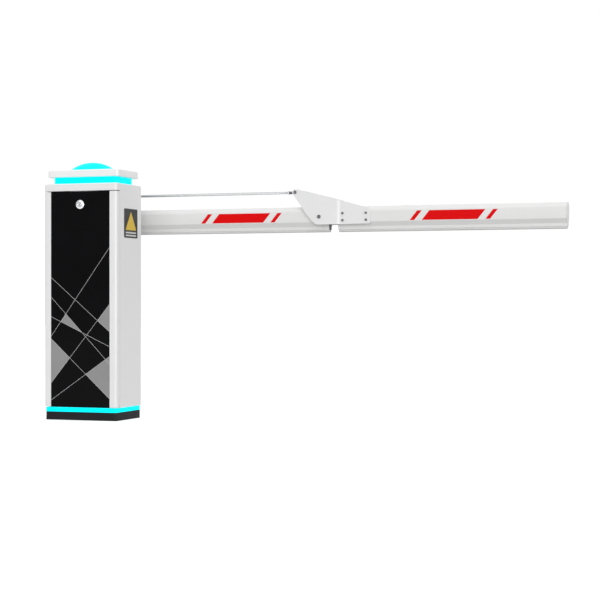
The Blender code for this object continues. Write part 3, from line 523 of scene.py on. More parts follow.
def make_dome():
    """The lamp dome, with a thin lip where it meets the lid."""
    low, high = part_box("dome_lens")
    reach, rise, lip = high.x, high.z - low.z, 0.0022
    sphere = (reach**2 + rise**2) / (2 * rise)
    widest, steps = asin(reach / sphere), 24
    angles = [widest * i / steps for i in range(steps)]
    profile = [(sphere * sin(angle), high.z - sphere * (1 - cos(angle))) for angle in angles]
    profile = [(r, z) for r, z in profile if z > low.z + lip and r < reach - 0.0015]
    profile += [(reach - 0.0010, low.z + lip), (reach, low.z + lip * 0.6), (reach, low.z), (0.0, low.z)]
    piece("lamp_dome", lathe(profile, (0, 0, 0), Z, 96), GLOW_DOME, "cabinet", ["dome_lens"])


def make_label():
    """A plain plate: a triangle over two bars."""
    low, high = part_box("side_label")
    _, *centre = midpoint("side_label")
    half = ((high.y - low.y) / 2, (high.z - low.z) / 2)
    face, film = high.x - HAIR, HAIR * 0.8
    plate = prism([rounded(*half, 0.006, 8, centre)], "X", low.x, face)
    piece("label_plate", plate, LABEL_BLACK, "cabinet", ["side_label"], 0.0003)
    triangle = [(0.050, -0.028), (0.0, 0.048), (-0.050, -0.028)]
    triangle = softened([(centre[0] + u, centre[1] + v) for u, v in triangle], 0.006, 5)
    piece("label_triangle", prism([triangle], "X", face, face + film), LABEL_YELLOW, "cabinet")
    outlines = [rounded(0.048, 0.0030, 0.0014, 4, (centre[0], centre[1] - drop)) for drop in (0.0385, 0.0500)]
    bars = [prism([outline], "X", face, face + film) for outline in outlines]
    piece("label_bars", together(*bars), LABEL_GREY, "cabinet")


# ---- door
DOOR_SKIN = 0.0025
DOOR_CORNER = (DOOR_HIGH.x - CORNER, DOOR_LOW.y + CORNER)  # the centre of its round corner, seen from above
RECESS_X, RECESS_Y = PANEL_HIGH.x + HAIR, PANEL_HIGH.y + HAIR
HINGE_LUG, HINGE_SLOT, CORNER_NOTCH = (0.1380, 0.1410), (0.1430, 0.1485), (0.1500, 0.1700)  # from the middle
LOCK_HOLE = 0.012


def flipped(points):
    return [(-x, y) for x, y in points]


def door_section():
    """The folded skin seen from above, with its recess for the panel."""
    edge = (DOOR_HIGH.x, DOOR_HIGH.y)
    right = [edge, *arc(DOOR_CORNER, CORNER, 0, -90, 14), (RECESS_X, DOOR_LOW.y), (RECESS_X, RECESS_Y)]
    back = [(edge[0] - DOOR_SKIN, edge[1]), *arc(DOOR_CORNER, CORNER - DOOR_SKIN, 0, -90, 14)]
    back += [(RECESS_X + 0.0022, DOOR_LOW.y + DOOR_SKIN), (RECESS_X + 0.0022, RECESS_Y + 0.002)]
    return right + flipped(right[::-1]) + flipped(back) + back[::-1]


def door_fold():
    """The flange that closes the skin above and below, seen from above."""
    inset = 0.001
    right = [(DOOR_HIGH.x - inset, DOOR_HIGH.y - inset), *arc(DOOR_CORNER, CORNER - inset, 0, -90, 14)]
    right += [(RECESS_X + 0.0009, DOOR_LOW.y + inset), (RECESS_X + 0.0009, RECESS_Y + 0.0007)]
    return right + flipped(right[::-1])


def stiffener(side):
    """A hat section that backs the panel on one side."""
    front, rear, gauge = RECESS_Y + 0.0012, -0.0975, 0.002
    left, right = sorted((side * 0.062, side * 0.082))
    hat = [(left, front), (left, rear), (right, rear), (right, front)]
    hat += [(right - gauge, front), (right - gauge, rear - gauge)]
    hat += [(left + gauge, rear - gauge), (left + gauge, front)]
    return prism([hat], "Z", 0.080, 0.905)


def side_box(side, distances, low, high):
    """A box on one side: its two distances from the middle, then its low and high (y, z)."""
    left, right = sorted(side * distance for distance in distances)
    return box((left, *low), (right, *high))


def make_door():
    """The door's skin with its folds, stiffeners, hinge lugs and lock hole, and the panel in it."""
    low, high = DOOR_LOW.z + 0.0004, DOOR_HIGH.z - 0.0004
    extras = [prism([door_fold()], "Z", base, base + DOOR_SKIN) for base in (low, high - DOOR_SKIN)]
    cuts = []
    _, axis_y, axis_z = frame_joint("door_tilt")
    for side in (-1, 1):
        extras += [side_box(side, HINGE_LUG, (-0.1175, low), (-0.1045, 0.0740)), stiffener(side)]
        cuts.append(side_box(side, HINGE_SLOT, (-0.1163, 0.04), (-0.08, 0.0600)))
        cuts.append(side_box(side, CORNER_NOTCH, (-0.0945, 0.04), (-0.08, 0.0605)))
        cuts.append(cylinder((side * sum(HINGE_LUG) / 2, axis_y, axis_z), X, 0.0023, -0.004, 0.004, 16))
    door = boolean(prism([door_section()], "Z", DOOR_LOW.z, DOOR_HIGH.z), "UNION", *extras)
    lock_z = frame_joint("lock_turn").z
    cuts.append(cylinder((0, DOOR_LOW.y, lock_z), Y, LOCK_HOLE, -0.02, 0.02, 48))
    door = boolean(door, "DIFFERENCE", *cuts)
    piece("door_cover", door, WHITE_PAINT, "door", ["door_skin"], 0.0004)
    outline = [(PANEL_LOW.x, PANEL_LOW.z), (PANEL_HIGH.x, PANEL_LOW.z)]
    outline += [(PANEL_HIGH.x, PANEL_HIGH.z), (PANEL_LOW.x, PANEL_HIGH.z)]
    glass = prism([outline, circle((0.0, lock_z), LOCK_HOLE, 48)], "Y", PANEL_LOW.y, PANEL_HIGH.y)
    piece("door_glass", glass, ACRYLIC, "door", ["door_panel"], 0.0005)
    make_art()
    make_lock(lock_z)


ART_EDGE = 0.1317  # the lines end just inside the panel's sides
ART_LINES = [(0.580, 0.360), (0.340, 0.700), (0.500, 0.230), (0.150, 0.470)]  # heights at the left, right
ART_LINES += [(0.330, 0.090), (0.080, 0.260), (0.420, 0.300)]


def line_end(line, side):
    """Where a line meets the net's left (-1) or right (1) edge."""
    return (side * ART_EDGE, line[0] if side < 0 else line[1])


def crossing(first, second):
    """Where two lines cross."""
    share = (second[0] - first[0]) / ((first[1] - first[0]) - (second[1] - second[0]))
    return (ART_EDGE * (2 * share - 1), first[0] + share * (first[1] - first[0]))


def strip(line, width):
    """A line as a thin straight band, cut square to the panel's sides."""
    (left, low), (right, high) = line_end(line, -1), line_end(line, 1)
    offset = width / 2 * Vector((right - left, high - low)).length / abs(right - left)
    return [(left, low - offset), (right, high - offset), (right, high + offset), (left, low + offset)]


def make_art():
    """A plain net of crossing lines with a few of its fields filled."""
    face = PANEL_LOW.y
    lines = [prism([strip(line, 0.0012)], "Y", face - 0.00022, face) for line in ART_LINES]
    piece("art_lines", together(*lines), ART_WHITE, "door")
    a, b, c, d, e, f, g = ART_LINES
    facets = [
        [crossing(b, c), crossing(b, g), crossing(c, g)],
        [crossing(a, d), line_end(a, 1), line_end(d, 1)],
        [crossing(e, f), line_end(e, 1), line_end(f, 1)],
        [crossing(d, e), line_end(d, -1), line_end(e, -1)],
    ]
    fields = [prism([points], "Y", face - 0.00012, face) for points in facets]
    piece("art_facets", together(*fields), ART_GREY, "door")


def make_lock(lock_z):
    """A chrome escutcheon, the keyed core in it and the nut that holds the cam."""
    face = DOOR_LOW.y
    centre = (0, face, lock_z)
    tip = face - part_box("lock_body")[0].y  # how far the escutcheon stands out
    bore, sleeve, rim, back = 0.0075, 0.0115, 0.0190, -0.0200
    profile = [(0.0078, tip - 0.0006), (0.0086, tip), (0.0150, tip), (0.0168, tip - 0.0008)]
    profile += [(0.0186, tip - 0.0026), (rim, tip - 0.0036), (rim, HAIR), (sleeve, HAIR), (sleeve, back)]
    profile += [(bore, back), (bore, tip - 0.0010), (0.0078, tip - 0.0006)]
    ring = lathe(profile, centre, -Y, 64)
    piece("lock_escutcheon", ring, CHROME, "door", ["lock_body"], 0.0002)
    front, rear = [face - corner.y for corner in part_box("lock_plug")]
    profile = [(0, front), (0.0064, front), (0.0071, front - 0.0007), (0.0071, rear), (0, rear)]
    slot = box((-0.0011, face - 0.01, lock_z - 0.0048), (0.0011, face + 0.003, lock_z + 0.0048))
    core = boolean(lathe(profile, centre, -Y, 48), "DIFFERENCE", slot)
    piece("lock_core", core, CHROME, "lock", ["lock_plug"], 0.0002)
    nut = hexagon_head((0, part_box("lock_cam")[0].y, lock_z), -Y, 0.017, 0.0040)
    piece("cam_nut", nut, ZINC, "lock", bevel=0.0002)


# ---- boom
BOOM_LOW, BOOM_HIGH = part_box("inner_boom")
BOOM_Y = (BOOM_LOW.y + BOOM_HIGH.y) / 2
BOOM_HALF = (BOOM_HIGH.y - BOOM_LOW.y) / 2
BOOM_WALL = 0.0025
FACE_TOP, FACE_BOTTOM, RAIL_TOP = 0.846, 0.801, 0.783
BOOM_SIDE = [(0.0105, BOOM_HIGH.z), (BOOM_HALF, FACE_TOP), (BOOM_HALF, FACE_BOTTOM)]
BOOM_SIDE += [(0.0110, RAIL_TOP), (0.0110, BOOM_LOW.z)]  # half of the section's outside, from the top down
SPLICE_BOLTS, SPLICE_HOLE = range(1, 5), 0.0033


def mirrored(half):
    """A closed outline about the boom's centre plane from its +Y half."""
    return [(BOOM_Y + s, z) for s, z in half] + [(BOOM_Y - s, z) for s, z in half[::-1]]


def boom_section():
    """The extrusion's outside, with the rail's slot below, and its room inside."""
    lip, slot, bottom = 0.0040, 0.0075, BOOM_LOW.z
    ledge = bottom + BOOM_WALL
    rail = [(lip, bottom), (lip, ledge), (slot, ledge), (slot, RAIL_TOP - BOOM_WALL)]
    room_half = BOOM_HALF - BOOM_WALL
    room = [(0.0092, BOOM_HIGH.z - BOOM_WALL), (room_half, FACE_TOP - 0.001)]
    room += [(room_half, FACE_BOTTOM + 0.001), (0.0095, RAIL_TOP + 0.0012)]
    return [softened(mirrored(BOOM_SIDE + rail), 0.0016), softened(mirrored(room), 0.0012)]


def make_boom(node, body, bores):
    """One length of the extrusion, with its round holes."""
    low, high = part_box(node)
    tools = [cylinder((x, BOOM_Y, z), Y, radius, -0.05, 0.05) for x, z, radius in bores]
    bm = boolean(prism(boom_section(), "X", low.x, high.x), "DIFFERENCE", *tools)
    piece(node.replace("_boom", "_extrusion"), bm, BOOM_PAINT, body, [node], 0.0003)


def make_bumper(node, body):
    """Bumper strip: a head held in the rail, a neck, and a nose with fine ribs."""
    low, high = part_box(node)
    head, neck, nose = 0.0072, 0.0037, 0.0115
    held, under = high.z - 0.0074, BOOM_LOW.z - HAIR
    side = [(head, high.z), (head, held), (neck, held), (neck, under), (nose, under)]
    side += [(nose, low.z + 0.0062), (0.0110, low.z + 0.0056), (nose, low.z + 0.0050), (nose, low.z + 0.0030)]
    side += [(0.0085, low.z), (0.0050, low.z), (0.0044, low.z + 0.0006), (0.0038, low.z)]
    outline = softened(mirrored(side), 0.0006, 2)
    piece(node + "_strip", prism([outline], "X", low.x, high.x), BUMPER, body, [node])


def make_cap(node, body, outward, material):
    """A moulded end cap: a softly edged plate over the section, with a plug inside the tube."""
    low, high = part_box(node)
    edge, half = high.x if outward > 0 else low.x, 0.0190
    plug = [(0.0085, BOOM_HIGH.z - 0.004), (half, FACE_TOP - 0.002)]
    plug += [(half, FACE_BOTTOM + 0.002), (0.0085, RAIL_TOP + 0.003)]
    plate = prism([softened(mirrored(BOOM_SIDE), 0.0025, 4)], "X", *sorted((edge, edge - outward * 0.0024)))
    reach = sorted((edge - outward * 0.0015, edge - outward * 0.010))
    inner = prism([softened(mirrored(plug), 0.002)], "X", *reach)
    piece(node + "_moulding", boolean(plate, "UNION", inner), material, body, [node], 0.0006, 3)


STICKER_LOW, STICKER_HIGH, LEAN, FILM = 0.8036, 0.8416, 0.031, 0.00025
THIN, BROAD, SPACE = 0.0185, 0.2250, 0.0310


def make_stickers(name, body, start):
    """Slanted red film on both faces: a thin stripe, a broad block and a thin stripe."""
    films = []
    x = start
    for width in (THIN, BROAD, THIN):
        outline = [(x, STICKER_LOW), (x + width, STICKER_LOW)]
        outline += [(x + width + LEAN, STICKER_HIGH), (x + LEAN, STICKER_HIGH)]
        for side in (-1, 1):
            face = BOOM_Y + side * BOOM_HALF
            films.append(prism([softened(outline, 0.0012)], "Y", *sorted((face, face + side * FILM))))
        x += width + SPACE
    piece(name, together(*films), RED_FILM, body)


def make_booms():
    elbow = frame_joint("elbow_fold")
    make_boom("inner_boom", "inner_arm", [(elbow.x, elbow.z, 0.0123)])
    make_boom("outer_boom", "outer_arm", [(x, z, SPLICE_HOLE) for x, z in splice_points()])
    make_bumper("inner_bumper", "inner_arm")
    make_bumper("outer_bumper", "outer_arm")
    make_cap("boom_tail_cap", "inner_arm", -1, BLACK_PLASTIC)
    make_cap("inner_end_cap", "inner_arm", 1, BLACK_PLASTIC)
    make_cap("outer_root_cap", "outer_arm", -1, BOOM_PAINT)
    make_cap("outer_tip_cap", "outer_arm", 1, BOOM_PAINT)
    make_stickers("inner_reflectors", "inner_arm", 0.412)
    make_stickers("outer_reflectors", "outer_arm", 1.3055)


def splice_points():
    """The (x, z) of the four bolts that hold the outer boom."""
    middles = [midpoint(f"splice_bolt_{index}") for index in SPLICE_BOLTS]
    return [(x, z) for x, _, z in middles]


# ---- elbow
PLATE_OUT, PLATE_IN, PLATE_SHEET = 0.0325, 0.0267, 0.004


def elbow_outline(ear):
    """One elbow plate seen from the front, as (x, z): round about the ear, then along its edges."""
    corners = [(0.848, 0.9322), (1.005, 0.8918), (1.019, 0.8868), (1.129, 0.8572), (1.139, 0.853)]
    corners += [(1.145, 0.844), (1.145, 0.798), (1.140, 0.793), (1.012, 0.792), (0.925, 0.791)]
    corners += [(0.913, 0.795), (0.898, 0.808), (0.864, 0.849)]
    return arc(ear, 0.0120, 215, 75, 12) + softened(corners, 0.005)[3:]


def make_elbow_plate(node, side):
    """A joggled plate: proud beside the inner boom, flat on the outer boom."""
    elbow = frame_joint("elbow_fold")
    ear_x, _, ear_z = midpoint("rod_pin")
    holes = [circle((elbow.x, elbow.z), 0.0053, 32), circle((ear_x, ear_z), 0.0053, 24)]
    holes += [circle(point, SPLICE_HOLE, 24) for point in splice_points()]
    depth = sorted((BOOM_Y + side * 0.020, BOOM_Y + side * 0.040))
    blank = prism([elbow_outline((ear_x, ear_z)), *holes], "Y", *depth)
    outer = [(0.80, PLATE_OUT), (1.004, PLATE_OUT), (1.007, PLATE_OUT - 0.0008)]
    outer += [(1.016, PLATE_IN + 0.0010), (1.020, PLATE_IN), (1.16, PLATE_IN)]
    inner = [(x - 0.0015 if x < 1.1 else x, s - PLATE_SHEET) for x, s in outer[::-1]]
    sheet = prism([[(x, BOOM_Y + side * s) for x, s in outer + inner]], "Z", 0.75, 0.95)
    plate = boolean(blank, "INTERSECT", sheet)
    piece(node + "_sheet", plate, PLATE_PAINT, "outer_arm", [node], 0.0005)


def make_bolt(node, across, shank, washer, face_reach):
    """A bolt through both elbow plates: hex head in front, nut and thread end behind."""
    low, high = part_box(node)
    x, _, z = midpoint(node)
    front, rear, eased = low.y - BOOM_Y + 0.002, high.y - BOOM_Y, 0.0006
    profile = [(0, rear), (shank - eased, rear), (shank, rear - eased), (shank, front), (0, front)]
    rod = lathe(profile, (x, BOOM_Y, z), Y)
    tall = rear - face_reach - 0.0015
    head = hexagon_head((x, BOOM_Y - face_reach, z), -Y, across, tall, washer)
    nut = hexagon_head((x, BOOM_Y + face_reach, z), Y, across, tall - 0.0006, washer)
    piece(node + "_set", together(rod, head, nut), BRIGHT_BOLT, "outer_arm", [node], 0.0003)


def make_elbow():
    make_elbow_plate("elbow_plate_front", -1)
    make_elbow_plate("elbow_plate_rear", 1)
    make_bolt("elbow_pivot_bolt", 0.0130, 0.0050, 0.0076, PLATE_OUT)
    make_bolt("rod_pin", 0.0110, 0.0050, 0.0066, PLATE_OUT)
    for index in SPLICE_BOLTS:
        make_bolt(f"splice_bolt_{index}", 0.0082, 0.0030, 0.0049, PLATE_IN)


# ---- tie rod
def make_tie_rod():
    low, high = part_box("tie_rod")
    z, radius, thread = midpoint("tie_rod")[2], (high.z - low.z) / 2, 0.060
    bar = cylinder((0, BOOM_Y, z), X, radius, low.x + thread, high.x - thread)
    piece("tie_rod_bar", bar, ROD_STEEL, "level_rod", ["tie_rod"], 0.0005)
    make_rod_end("rod_end_anchor", low.x, low.x + thread, z)
    make_rod_end("rod_end_boom", high.x, high.x - thread, z)


def make_rod_end(node, tip, shoulder, z):
    """Eye with a ball in it and its neck, then the rod's threaded end and a jam nut."""
    low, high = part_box(node)
    inward = 1 if shoulder > tip else -1
    eye, seat, bore, ball_radius = 0.0130, 0.0095, 0.0060, 0.0092
    pivot = low.x + eye if inward > 0 else high.x - eye
    centre = (pivot, BOOM_Y, z)
    half = (high.y - low.y) / 2
    ring = [(eye, half * 0.5), (0.0122, half * 0.8), (seat, half * 0.85), (seat, -half * 0.85)]
    ring += [(0.0122, -half * 0.8), (eye, -half * 0.5), (eye, half * 0.5)]
    top = sqrt(ball_radius**2 - bore**2)
    ball = [(bore, top), *arc((0, 0), ball_radius, 35, -35, 7), (bore, -top), (bore, top)]
    near, far = 0.0120, abs(pivot - tip) + 0.002
    neck = [(0, far), (0.0055, far), (0.0058, far - 0.008), (0.0048, near), (0, near)]
    parts = [lathe(ring, centre, Y, 48), lathe(ball, centre, Y), lathe(neck, centre, X * inward)]
    piece(node + "_eye", together(*parts), BRIGHT_BOLT, "level_rod", [node], 0.0002)
    pitch, crest, root = 0.00175, 0.0050, 0.0042
    count = int((abs(shoulder - tip) + 0.002) / pitch)
    thread = [(0, count * pitch)]
    for i in range(count, 0, -1):
        thread += [(root, i * pitch), (crest, (i - 0.5) * pitch)]
    thread += [(root, 0.0), (0, 0.0)]
    turned = lathe(thread, (tip, BOOM_Y, z), X * inward, 20)
    piece(node + "_thread", turned, ROD_STEEL, "level_rod")
    faces = (tip + inward * 0.003, tip + inward * 0.010)
    nut = loft([[(x, BOOM_Y + u, z + v) for u, v, x in hexagon(0.0085, x)] for x in faces])
    piece(node + "_jam_nut", nut, ZINC, "level_rod", bevel=0.0006)


# ---- the boom's mounting behind the cabinet
def make_mounting():
    keep_cad(ZINC, 0.0012, "boom_saddle")
    keep_cad(ZINC, 0.0008, "boom_clamp")
    keep_cad(ZINC, 0.0004, "rod_anchor_bracket")
    keep_cad(FORGED, 0.0010, "boom_hub")
    keep_cad(RUBBER, 0.0008, "shaft_seal")
    low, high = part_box("boom_clamp")
    saddle_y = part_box("boom_saddle")[0].y
    parts = []
    for x in (low.x + 0.015, high.x - 0.015):
        for z in (0.752, 0.874):
            parts.append(hexagon_head((x, high.y, z), Y, 0.0160, 0.0065, 0.0100))
            parts.append(cylinder((x, high.y, z), Y, 0.0049, -0.076, 0.0, 24))
            parts.append(hexagon_head((x, saddle_y, z), -Y, 0.0160, 0.0065))
    piece("clamp_bolts", together(*parts), ZINC, "inner_arm", bevel=0.0003)
    middle_x, _, middle_z = midpoint("rod_anchor_bracket")
    foot_face = SHELL_HIGH.y + HAIR + 0.006
    places = [(middle_x + u, foot_face, middle_z + v) for u in (-0.019, 0.019) for v in (-0.019, 0.019)]
    heads = [hexagon_head(place, Y, 0.0100, 0.0045, 0.0072) for place in places]
    piece("anchor_bolts", together(*heads), ZINC, "cabinet", bevel=0.0003)


# ---- inside the cabinet
GEARBOX_FACE, MOTOR_Y = 0.038, 0.073


def make_drive():
    """The cabinet's frame, bearings, stops, drive and links keep their CAD shapes."""
    keep_cad(ZINC, 0.0008, "base_plate", "bearing_bridge")
    keep_cad(ZINC, 0.0006, "mounting_plate", "drive_link", "spring_link")
    keep_cad(ZINC, 0.0005, "plinth_frame", "spring_bracket")
    keep_cad(ZINC, 0.0004, "lock_strike")
    keep_cad(ZINC, 0.0003, "lock_cam", "door_hinge_left", "door_hinge_right", "elbow_bush")
    keep_cad(CAST_PAINT, 0.0010, "front_bearing", "rear_bearing")
    keep_cad(CAST_PAINT, 0.0008, "gearbox")
    keep_cad(FORGED, 0.0008, "shaft_lever", "crank_arm")
    keep_cad(ROD_STEEL, 0.0008, "main_shaft")
    keep_cad(RUBBER, 0.0008, "down_stop", "up_stop")
    make_spring()
    make_gearbox_details()
    make_motor()
    make_control_box()
    make_power_supply()
    make_terminals()
    make_bearing_bolts()


def make_spring():
    """Close-wound balance spring whose end turns draw in to the hooks."""
    low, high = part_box("balance_spring")
    x, y, _ = midpoint("balance_spring")
    length = high.z - low.z
    wire, radius, turns, per_turn, drawn_in = 0.0022, 0.0168, 34, 24, 1.2
    points = []
    for i in range(turns * per_turn + 1):
        share = i / (turns * per_turn)
        ease = min(1.0, share * turns / drawn_in, (1 - share) * turns / drawn_in)
        angle = 2 * pi * i / per_turn
        reach = radius * (0.45 + 0.55 * ease)
        z = low.z + wire + (length - 2 * wire) * share
        points.append((x + reach * cos(angle), y + reach * sin(angle), z))
    coil = piece("spring_coil", tube(points, wire), FORGED, "cabinet", ["balance_spring"])
    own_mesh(coil)


def make_gearbox_details():
    """Cap screws round the output shaft and in the corners, an oil plug and a sight glass."""
    front, centre_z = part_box("gearbox")[0].y, frame_joint("crank_turn").z
    places = [(x, front, z) for x, z in arc((0, centre_z), 0.026, 30, 330, 5)]
    screws = [socket_head(place, -Y, 0.0030, 0.0026) for place in places]
    places = [(x, GEARBOX_FACE, centre_z + z) for x in (-0.044, 0.044) for z in (-0.044, 0.044)]
    screws += [socket_head(place, -Y, 0.0042, 0.0040) for place in places]
    piece("gearbox_screws", together(*screws), BOLT_STEEL, "cabinet")
    side_x = -0.055
    plug = hexagon_head((side_x, MOTOR_Y - 0.001, centre_z + 0.030), -X, 0.014, 0.006, 0.009)
    profile = [(0, 0.002), (0.0070, 0.002), (0.0085, 0.0035), (0.0100, 0.0030), (0.0100, 0), (0, 0)]
    glass = lathe(profile, (side_x, MOTOR_Y - 0.001, centre_z - 0.018), -X)
    piece("gearbox_oil_plugs", together(plug, glass), ZINC, "cabinet", bevel=0.0003)


def make_motor():
    """Finned motor with end bells, fan cover and terminal box."""
    low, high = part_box("motor")
    radius, waist, top = 0.034, 0.0295, high.z
    fin_low, fin_high, fins = low.z + 0.040, top - 0.016, 28
    profile = [(0, top), (0.026, top), (0.030, top - 0.004), (radius, top - 0.010), (radius, fin_high)]
    profile += [(waist, fin_high), (waist, fin_low), (radius, fin_low), (radius, low.z + 0.010)]
    profile += [(0.0325, low.z + 0.003), (0.029, low.z), (0, low.z)]
    parts = [lathe(profile, (0, MOTOR_Y, 0), Z, 64)]
    for i in range(fins):
        fin = box((0.0285, -0.0007, fin_low - 0.002), (radius - 0.0004, 0.0007, fin_high + 0.002))
        turn = Matrix.Rotation(2 * pi * i / fins, 4, "Z")
        parts.append(moved(fin, Matrix.Translation((0, MOTOR_Y, 0)) @ turn))
    piece("motor_body", together(*parts), MOTOR_PAINT, "cabinet", ["motor"], 0.0003)
    bottom, lid = (MOTOR_Y - 0.023, top - 0.090), (MOTOR_Y + 0.023, top - 0.030)
    base = box((0.028, *bottom), (0.060, *lid))
    piece("motor_terminal_base", base, MOTOR_PAINT, "cabinet", bevel=0.003, segments=4)
    cover = box((0.0605, *bottom), (0.066, *lid))
    piece("motor_terminal_cover", cover, BLACK_PLASTIC, "cabinet", bevel=0.0015, segments=3)
    gland = hexagon_head((0.044, MOTOR_Y, bottom[1]), -Z, 0.016, 0.006)
    piece("motor_gland", gland, BLACK_PLASTIC, "cabinet", bevel=0.0004)


def make_control_box():
    """The control box with its window, cover screws and cable glands."""
    low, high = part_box("control_box")
    seam = low.x + 0.012
    base = box((seam + 0.0006, low.y, low.z), high)
    piece("control_base", base, GREY_PLASTIC, "cabinet", ["control_box"], 0.004, 4)
    left, right, bottom, top = low.y + 0.035, high.y - 0.035, high.z - 0.085, high.z - 0.035
    recess = box((low.x - 0.01, left, bottom), (low.x + 0.002, right, top))
    cover = boolean(box(low, (seam, high.y, high.z)), "DIFFERENCE", recess)
    piece("control_cover", cover, GREY_PLASTIC, "cabinet", bevel=0.0022, segments=3)
    window = box((low.x + 0.0008, left + HAIR, bottom + HAIR), (low.x + 0.0019, right - HAIR, top - HAIR))
    piece("control_window", window, SMOKED, "cabinet", bevel=0.0004)
    inset = 0.012
    places = [(low.x, y, z) for y in (low.y + inset, high.y - inset) for z in (low.z + inset, high.z - inset)]
    screws = [socket_head(place, -X, 0.0038, 0.0015) for place in places]
    piece("control_screws", together(*screws), BOLT_STEEL, "cabinet")
    places = [(high.x - 0.020, low.y + 0.020 + 0.025 * i, low.z) for i in range(5)]
    glands = [hexagon_head(place, -Z, 0.015, 0.008) for place in places]
    piece("control_glands", together(*glands), BLACK_PLASTIC, "cabinet", bevel=0.0005)


def make_power_supply():
    """A steel case with rows of cooling slots."""
    low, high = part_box("power_supply")
    slots = []
    for row in range(9):
        for column in range(6):
            y, z = low.y + 0.018 + 0.015 * column, low.z + 0.020 + 0.010 * row
            slots.append(box((high.x - 0.0015, y, z), (high.x + 0.01, y + 0.010, z + 0.0035)))
    case = boolean(box(low, high), "DIFFERENCE", together(*slots))
    piece("supply_case", case, ZINC, "cabinet", ["power_supply"], 0.0006)


def make_terminals():
    """Sixteen terminals on a rail, each with two screws."""
    low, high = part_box("terminal_block")
    middle, half_rail = midpoint("terminal_block")[2], 0.0175
    rail = box((low.x, low.y, middle - half_rail), (low.x + 0.0075, high.y, middle + half_rail))
    piece("din_rail", rail, ZINC, "cabinet", bevel=0.0008)
    count, width, gap = 16, 0.0074, 0.0004
    back, shoulder = low.x + 0.0076, high.x - 0.012
    side = [(back, low.z + 0.002), (shoulder, low.z), (high.x, middle - 0.010), (high.x, middle + 0.010)]
    side += [(shoulder, high.z), (back, high.z - 0.002)]
    bodies, screws = [], []
    for i in range(count):
        y = low.y + 0.005 + i * (width + gap)
        bodies.append(prism([softened(side, 0.002)], "Y", y, y + width))
        for way in (-1, 1):
            place = (high.x - 0.007, y + width / 2, middle + way * 0.017)
            screws.append(socket_head(place, (1, 0, way), 0.0022, 0.0022))
    piece("terminals", together(*bodies), GREEN_PLASTIC, "cabinet", ["terminal_block"], 0.0003)
    piece("terminal_screws", together(*screws), ZINC, "cabinet")


def make_bearing_bolts():
    """Bolts of the bearings, the mounting plate, the bridge and the base, and what holds the lever's pins."""
    shaft_z, board_y = frame_joint("boom_lift").z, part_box("mounting_plate")[0].y
    rears = [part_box(node)[1].y for node in ("front_bearing", "rear_bearing")]
    small = [(x, rear - 0.008, shaft_z) for rear in rears for x in (-0.046, 0.046)]
    small += [(x, board_y, z) for x in (-0.125, 0.125) for z in (0.090, 0.300, 0.620, 0.880)]
    heads = [hexagon_head(place, -Y, 0.0130, 0.0060, 0.0095) for place in small]
    bridge = [(x, board_y - HAIR - 0.006, z) for x in (-0.101, 0.101) for z in (0.790, 0.857)]
    heads += [hexagon_head(place, -Y, 0.0100, 0.0050, 0.0080) for place in bridge]
    anchors = [(x, y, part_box("base_plate")[1].z) for x in (-0.125, 0.125) for y in (-0.085, 0.085)]
    heads += [hexagon_head(place, Z, 0.0190, 0.0090, 0.0135) for place in anchors]
    piece("frame_bolts", together(*heads), ZINC, "cabinet", bevel=0.0004)
    end = hexagon_head((0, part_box("main_shaft")[0].y, shaft_z), -Y, 0.0180, 0.0070, 0.0150)
    piece("shaft_end_bolt", end, ZINC, "inner_arm", bevel=0.0004)
    clip_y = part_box("shaft_lever")[0].y + 0.0008
    pins = [frame_joint(name) for name in ("drive_link_swing", "spring_link_swing")]
    clips = [cylinder((pin.x, clip_y, pin.z), -Y, 0.0085, 0.0, 0.0012) for pin in pins]
    piece("lever_pin_clips", together(*clips), ZINC, "inner_arm", bevel=0.0002)


# ---- stage, light and camera
WHITE = (1.0, 1.0, 1.0, 1.0)
SKY = (0.42, 0.72, 1.25)  # studio radiance straight down, level and straight up
BACKDROP, FLOOR_GLOW = 1.02, 0.35
FRONT_KEY, SIDE_KEY, STRIP_RADIANCE = 0.55, 0.85, 15.0


def make_stage():
    """A pale floor; the faces that look down see the dimmer lower half of the studio instead."""
    floor = bmesh.new()
    bmesh.ops.create_grid(floor, x_segments=8, y_segments=8, size=20.0)
    mesh = to_mesh(floor, "floor")
    material = surface("pale_floor", (0.86, 0.86, 0.86), 0.8, grain=(3, 100), mottle=0.005, patch=0.5,
                       specular=0.1)
    finish(material, {"Emission Color": WHITE, "Emission Strength": FLOOR_GLOW})
    mesh.materials.append(material)
    obj = placed("floor", mesh)
    obj.location.z = -0.0006
    obj.visible_diffuse = False


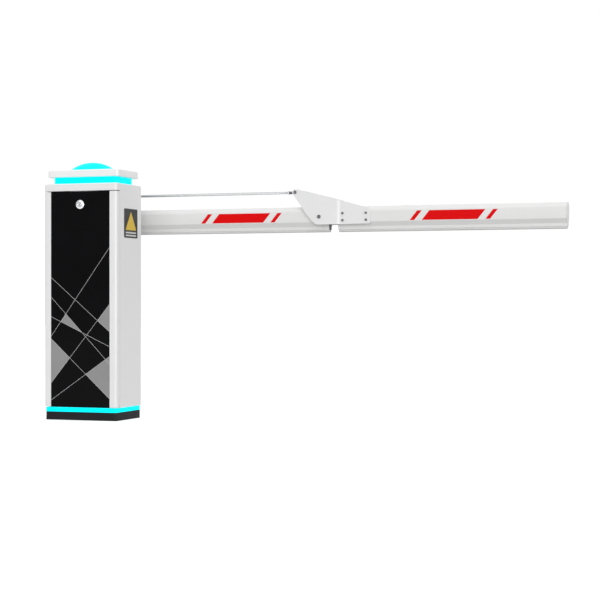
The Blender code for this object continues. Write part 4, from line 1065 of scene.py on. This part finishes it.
def make_world():
    """A white backdrop for the camera and a soft dome, brighter above, for the light."""
    world = bpy.data.worlds.new("studio")
    world.use_nodes = True
    tree = world.node_tree
    place = add_node(tree, "TexCoord", {}, "Generated")
    height = add_node(tree, "SeparateXYZ", {"Vector": place}, "Z")
    below = spread(tree, height, SKY[0], SKY[1], (-0.5, 0.0))
    above = spread(tree, height, 0.0, SKY[2] - SKY[1], (0.0, 1.0))
    level = add_node(tree, "Math", {0: below, 1: above}, "Value")
    dome = tree.nodes["Background"]
    feed(tree, dome, {"Color": WHITE, "Strength": level})
    backdrop = add_node(tree, "Background", {"Color": WHITE, "Strength": BACKDROP}, "Background")
    seen = add_node(tree, "LightPath", {}, "Is Camera Ray")
    choice = add_node(tree, "MixShader", {"Fac": seen, 1: dome.outputs["Background"], 2: backdrop}, "Shader")
    feed(tree, tree.nodes["World Output"], {"Surface": choice})
    bpy.context.scene.world = world


def make_sun(name, energy, spread_angle, azimuth, elevation):
    """A soft far light; azimuth is in degrees from the front towards the boom's side."""
    sun = bpy.data.lights.new(name, "SUN")
    sun.energy = energy
    sun.angle = radians(spread_angle)
    turn, rise = radians(azimuth), radians(elevation)
    source = Vector((sin(turn) * cos(rise), -cos(turn) * cos(rise), sin(rise)))
    lamp = placed(name, sun)
    lamp.rotation_mode = "QUATERNION"
    lamp.rotation_quaternion = (-source).to_track_quat("-Z", "Y")


def make_strip_light():
    """A tall softbox that only shows as the gleam down the rounded corners."""
    softbox = bpy.data.lights.new("corner_strip", "AREA")
    softbox.shape = "RECTANGLE"
    softbox.size, softbox.size_y = 1.2, 3.0
    softbox.energy = STRIP_RADIANCE * pi * softbox.size * softbox.size_y
    lamp = placed("corner_strip", softbox)
    turn, distance = radians(52), 4.0
    lamp.location = Vector((distance * sin(turn), -distance * cos(turn), 0.7))
    lamp.rotation_euler = (radians(90), 0.0, turn)
    lamp.visible_diffuse = False
    lamp.visible_camera = False


def make_light():
    make_world()
    make_sun("front_key", FRONT_KEY, 40, -8, 18)
    make_sun("corner_key", SIDE_KEY, 30, 45, 10)
    make_strip_light()


def make_camera():
    """Level camera on the boom's side of the cabinet, turned left by 19.6 degrees towards it."""
    data = bpy.data.cameras.new("camera")
    data.lens = 98.4
    data.sensor_width = 36.0
    camera = placed("camera", data)
    camera.location = (3.071, -6.085, 0.488)
    camera.rotation_euler = (radians(90), 0.0, radians(19.6))
    bpy.context.scene.camera = camera
    bpy.context.scene.view_settings.view_transform = "Standard"


make_camera()
make_light()
make_stage()
make_plinth()
make_shell()
make_top()
make_label()
make_door()
make_booms()
make_elbow()
make_tie_rod()
make_mounting()
make_drive()
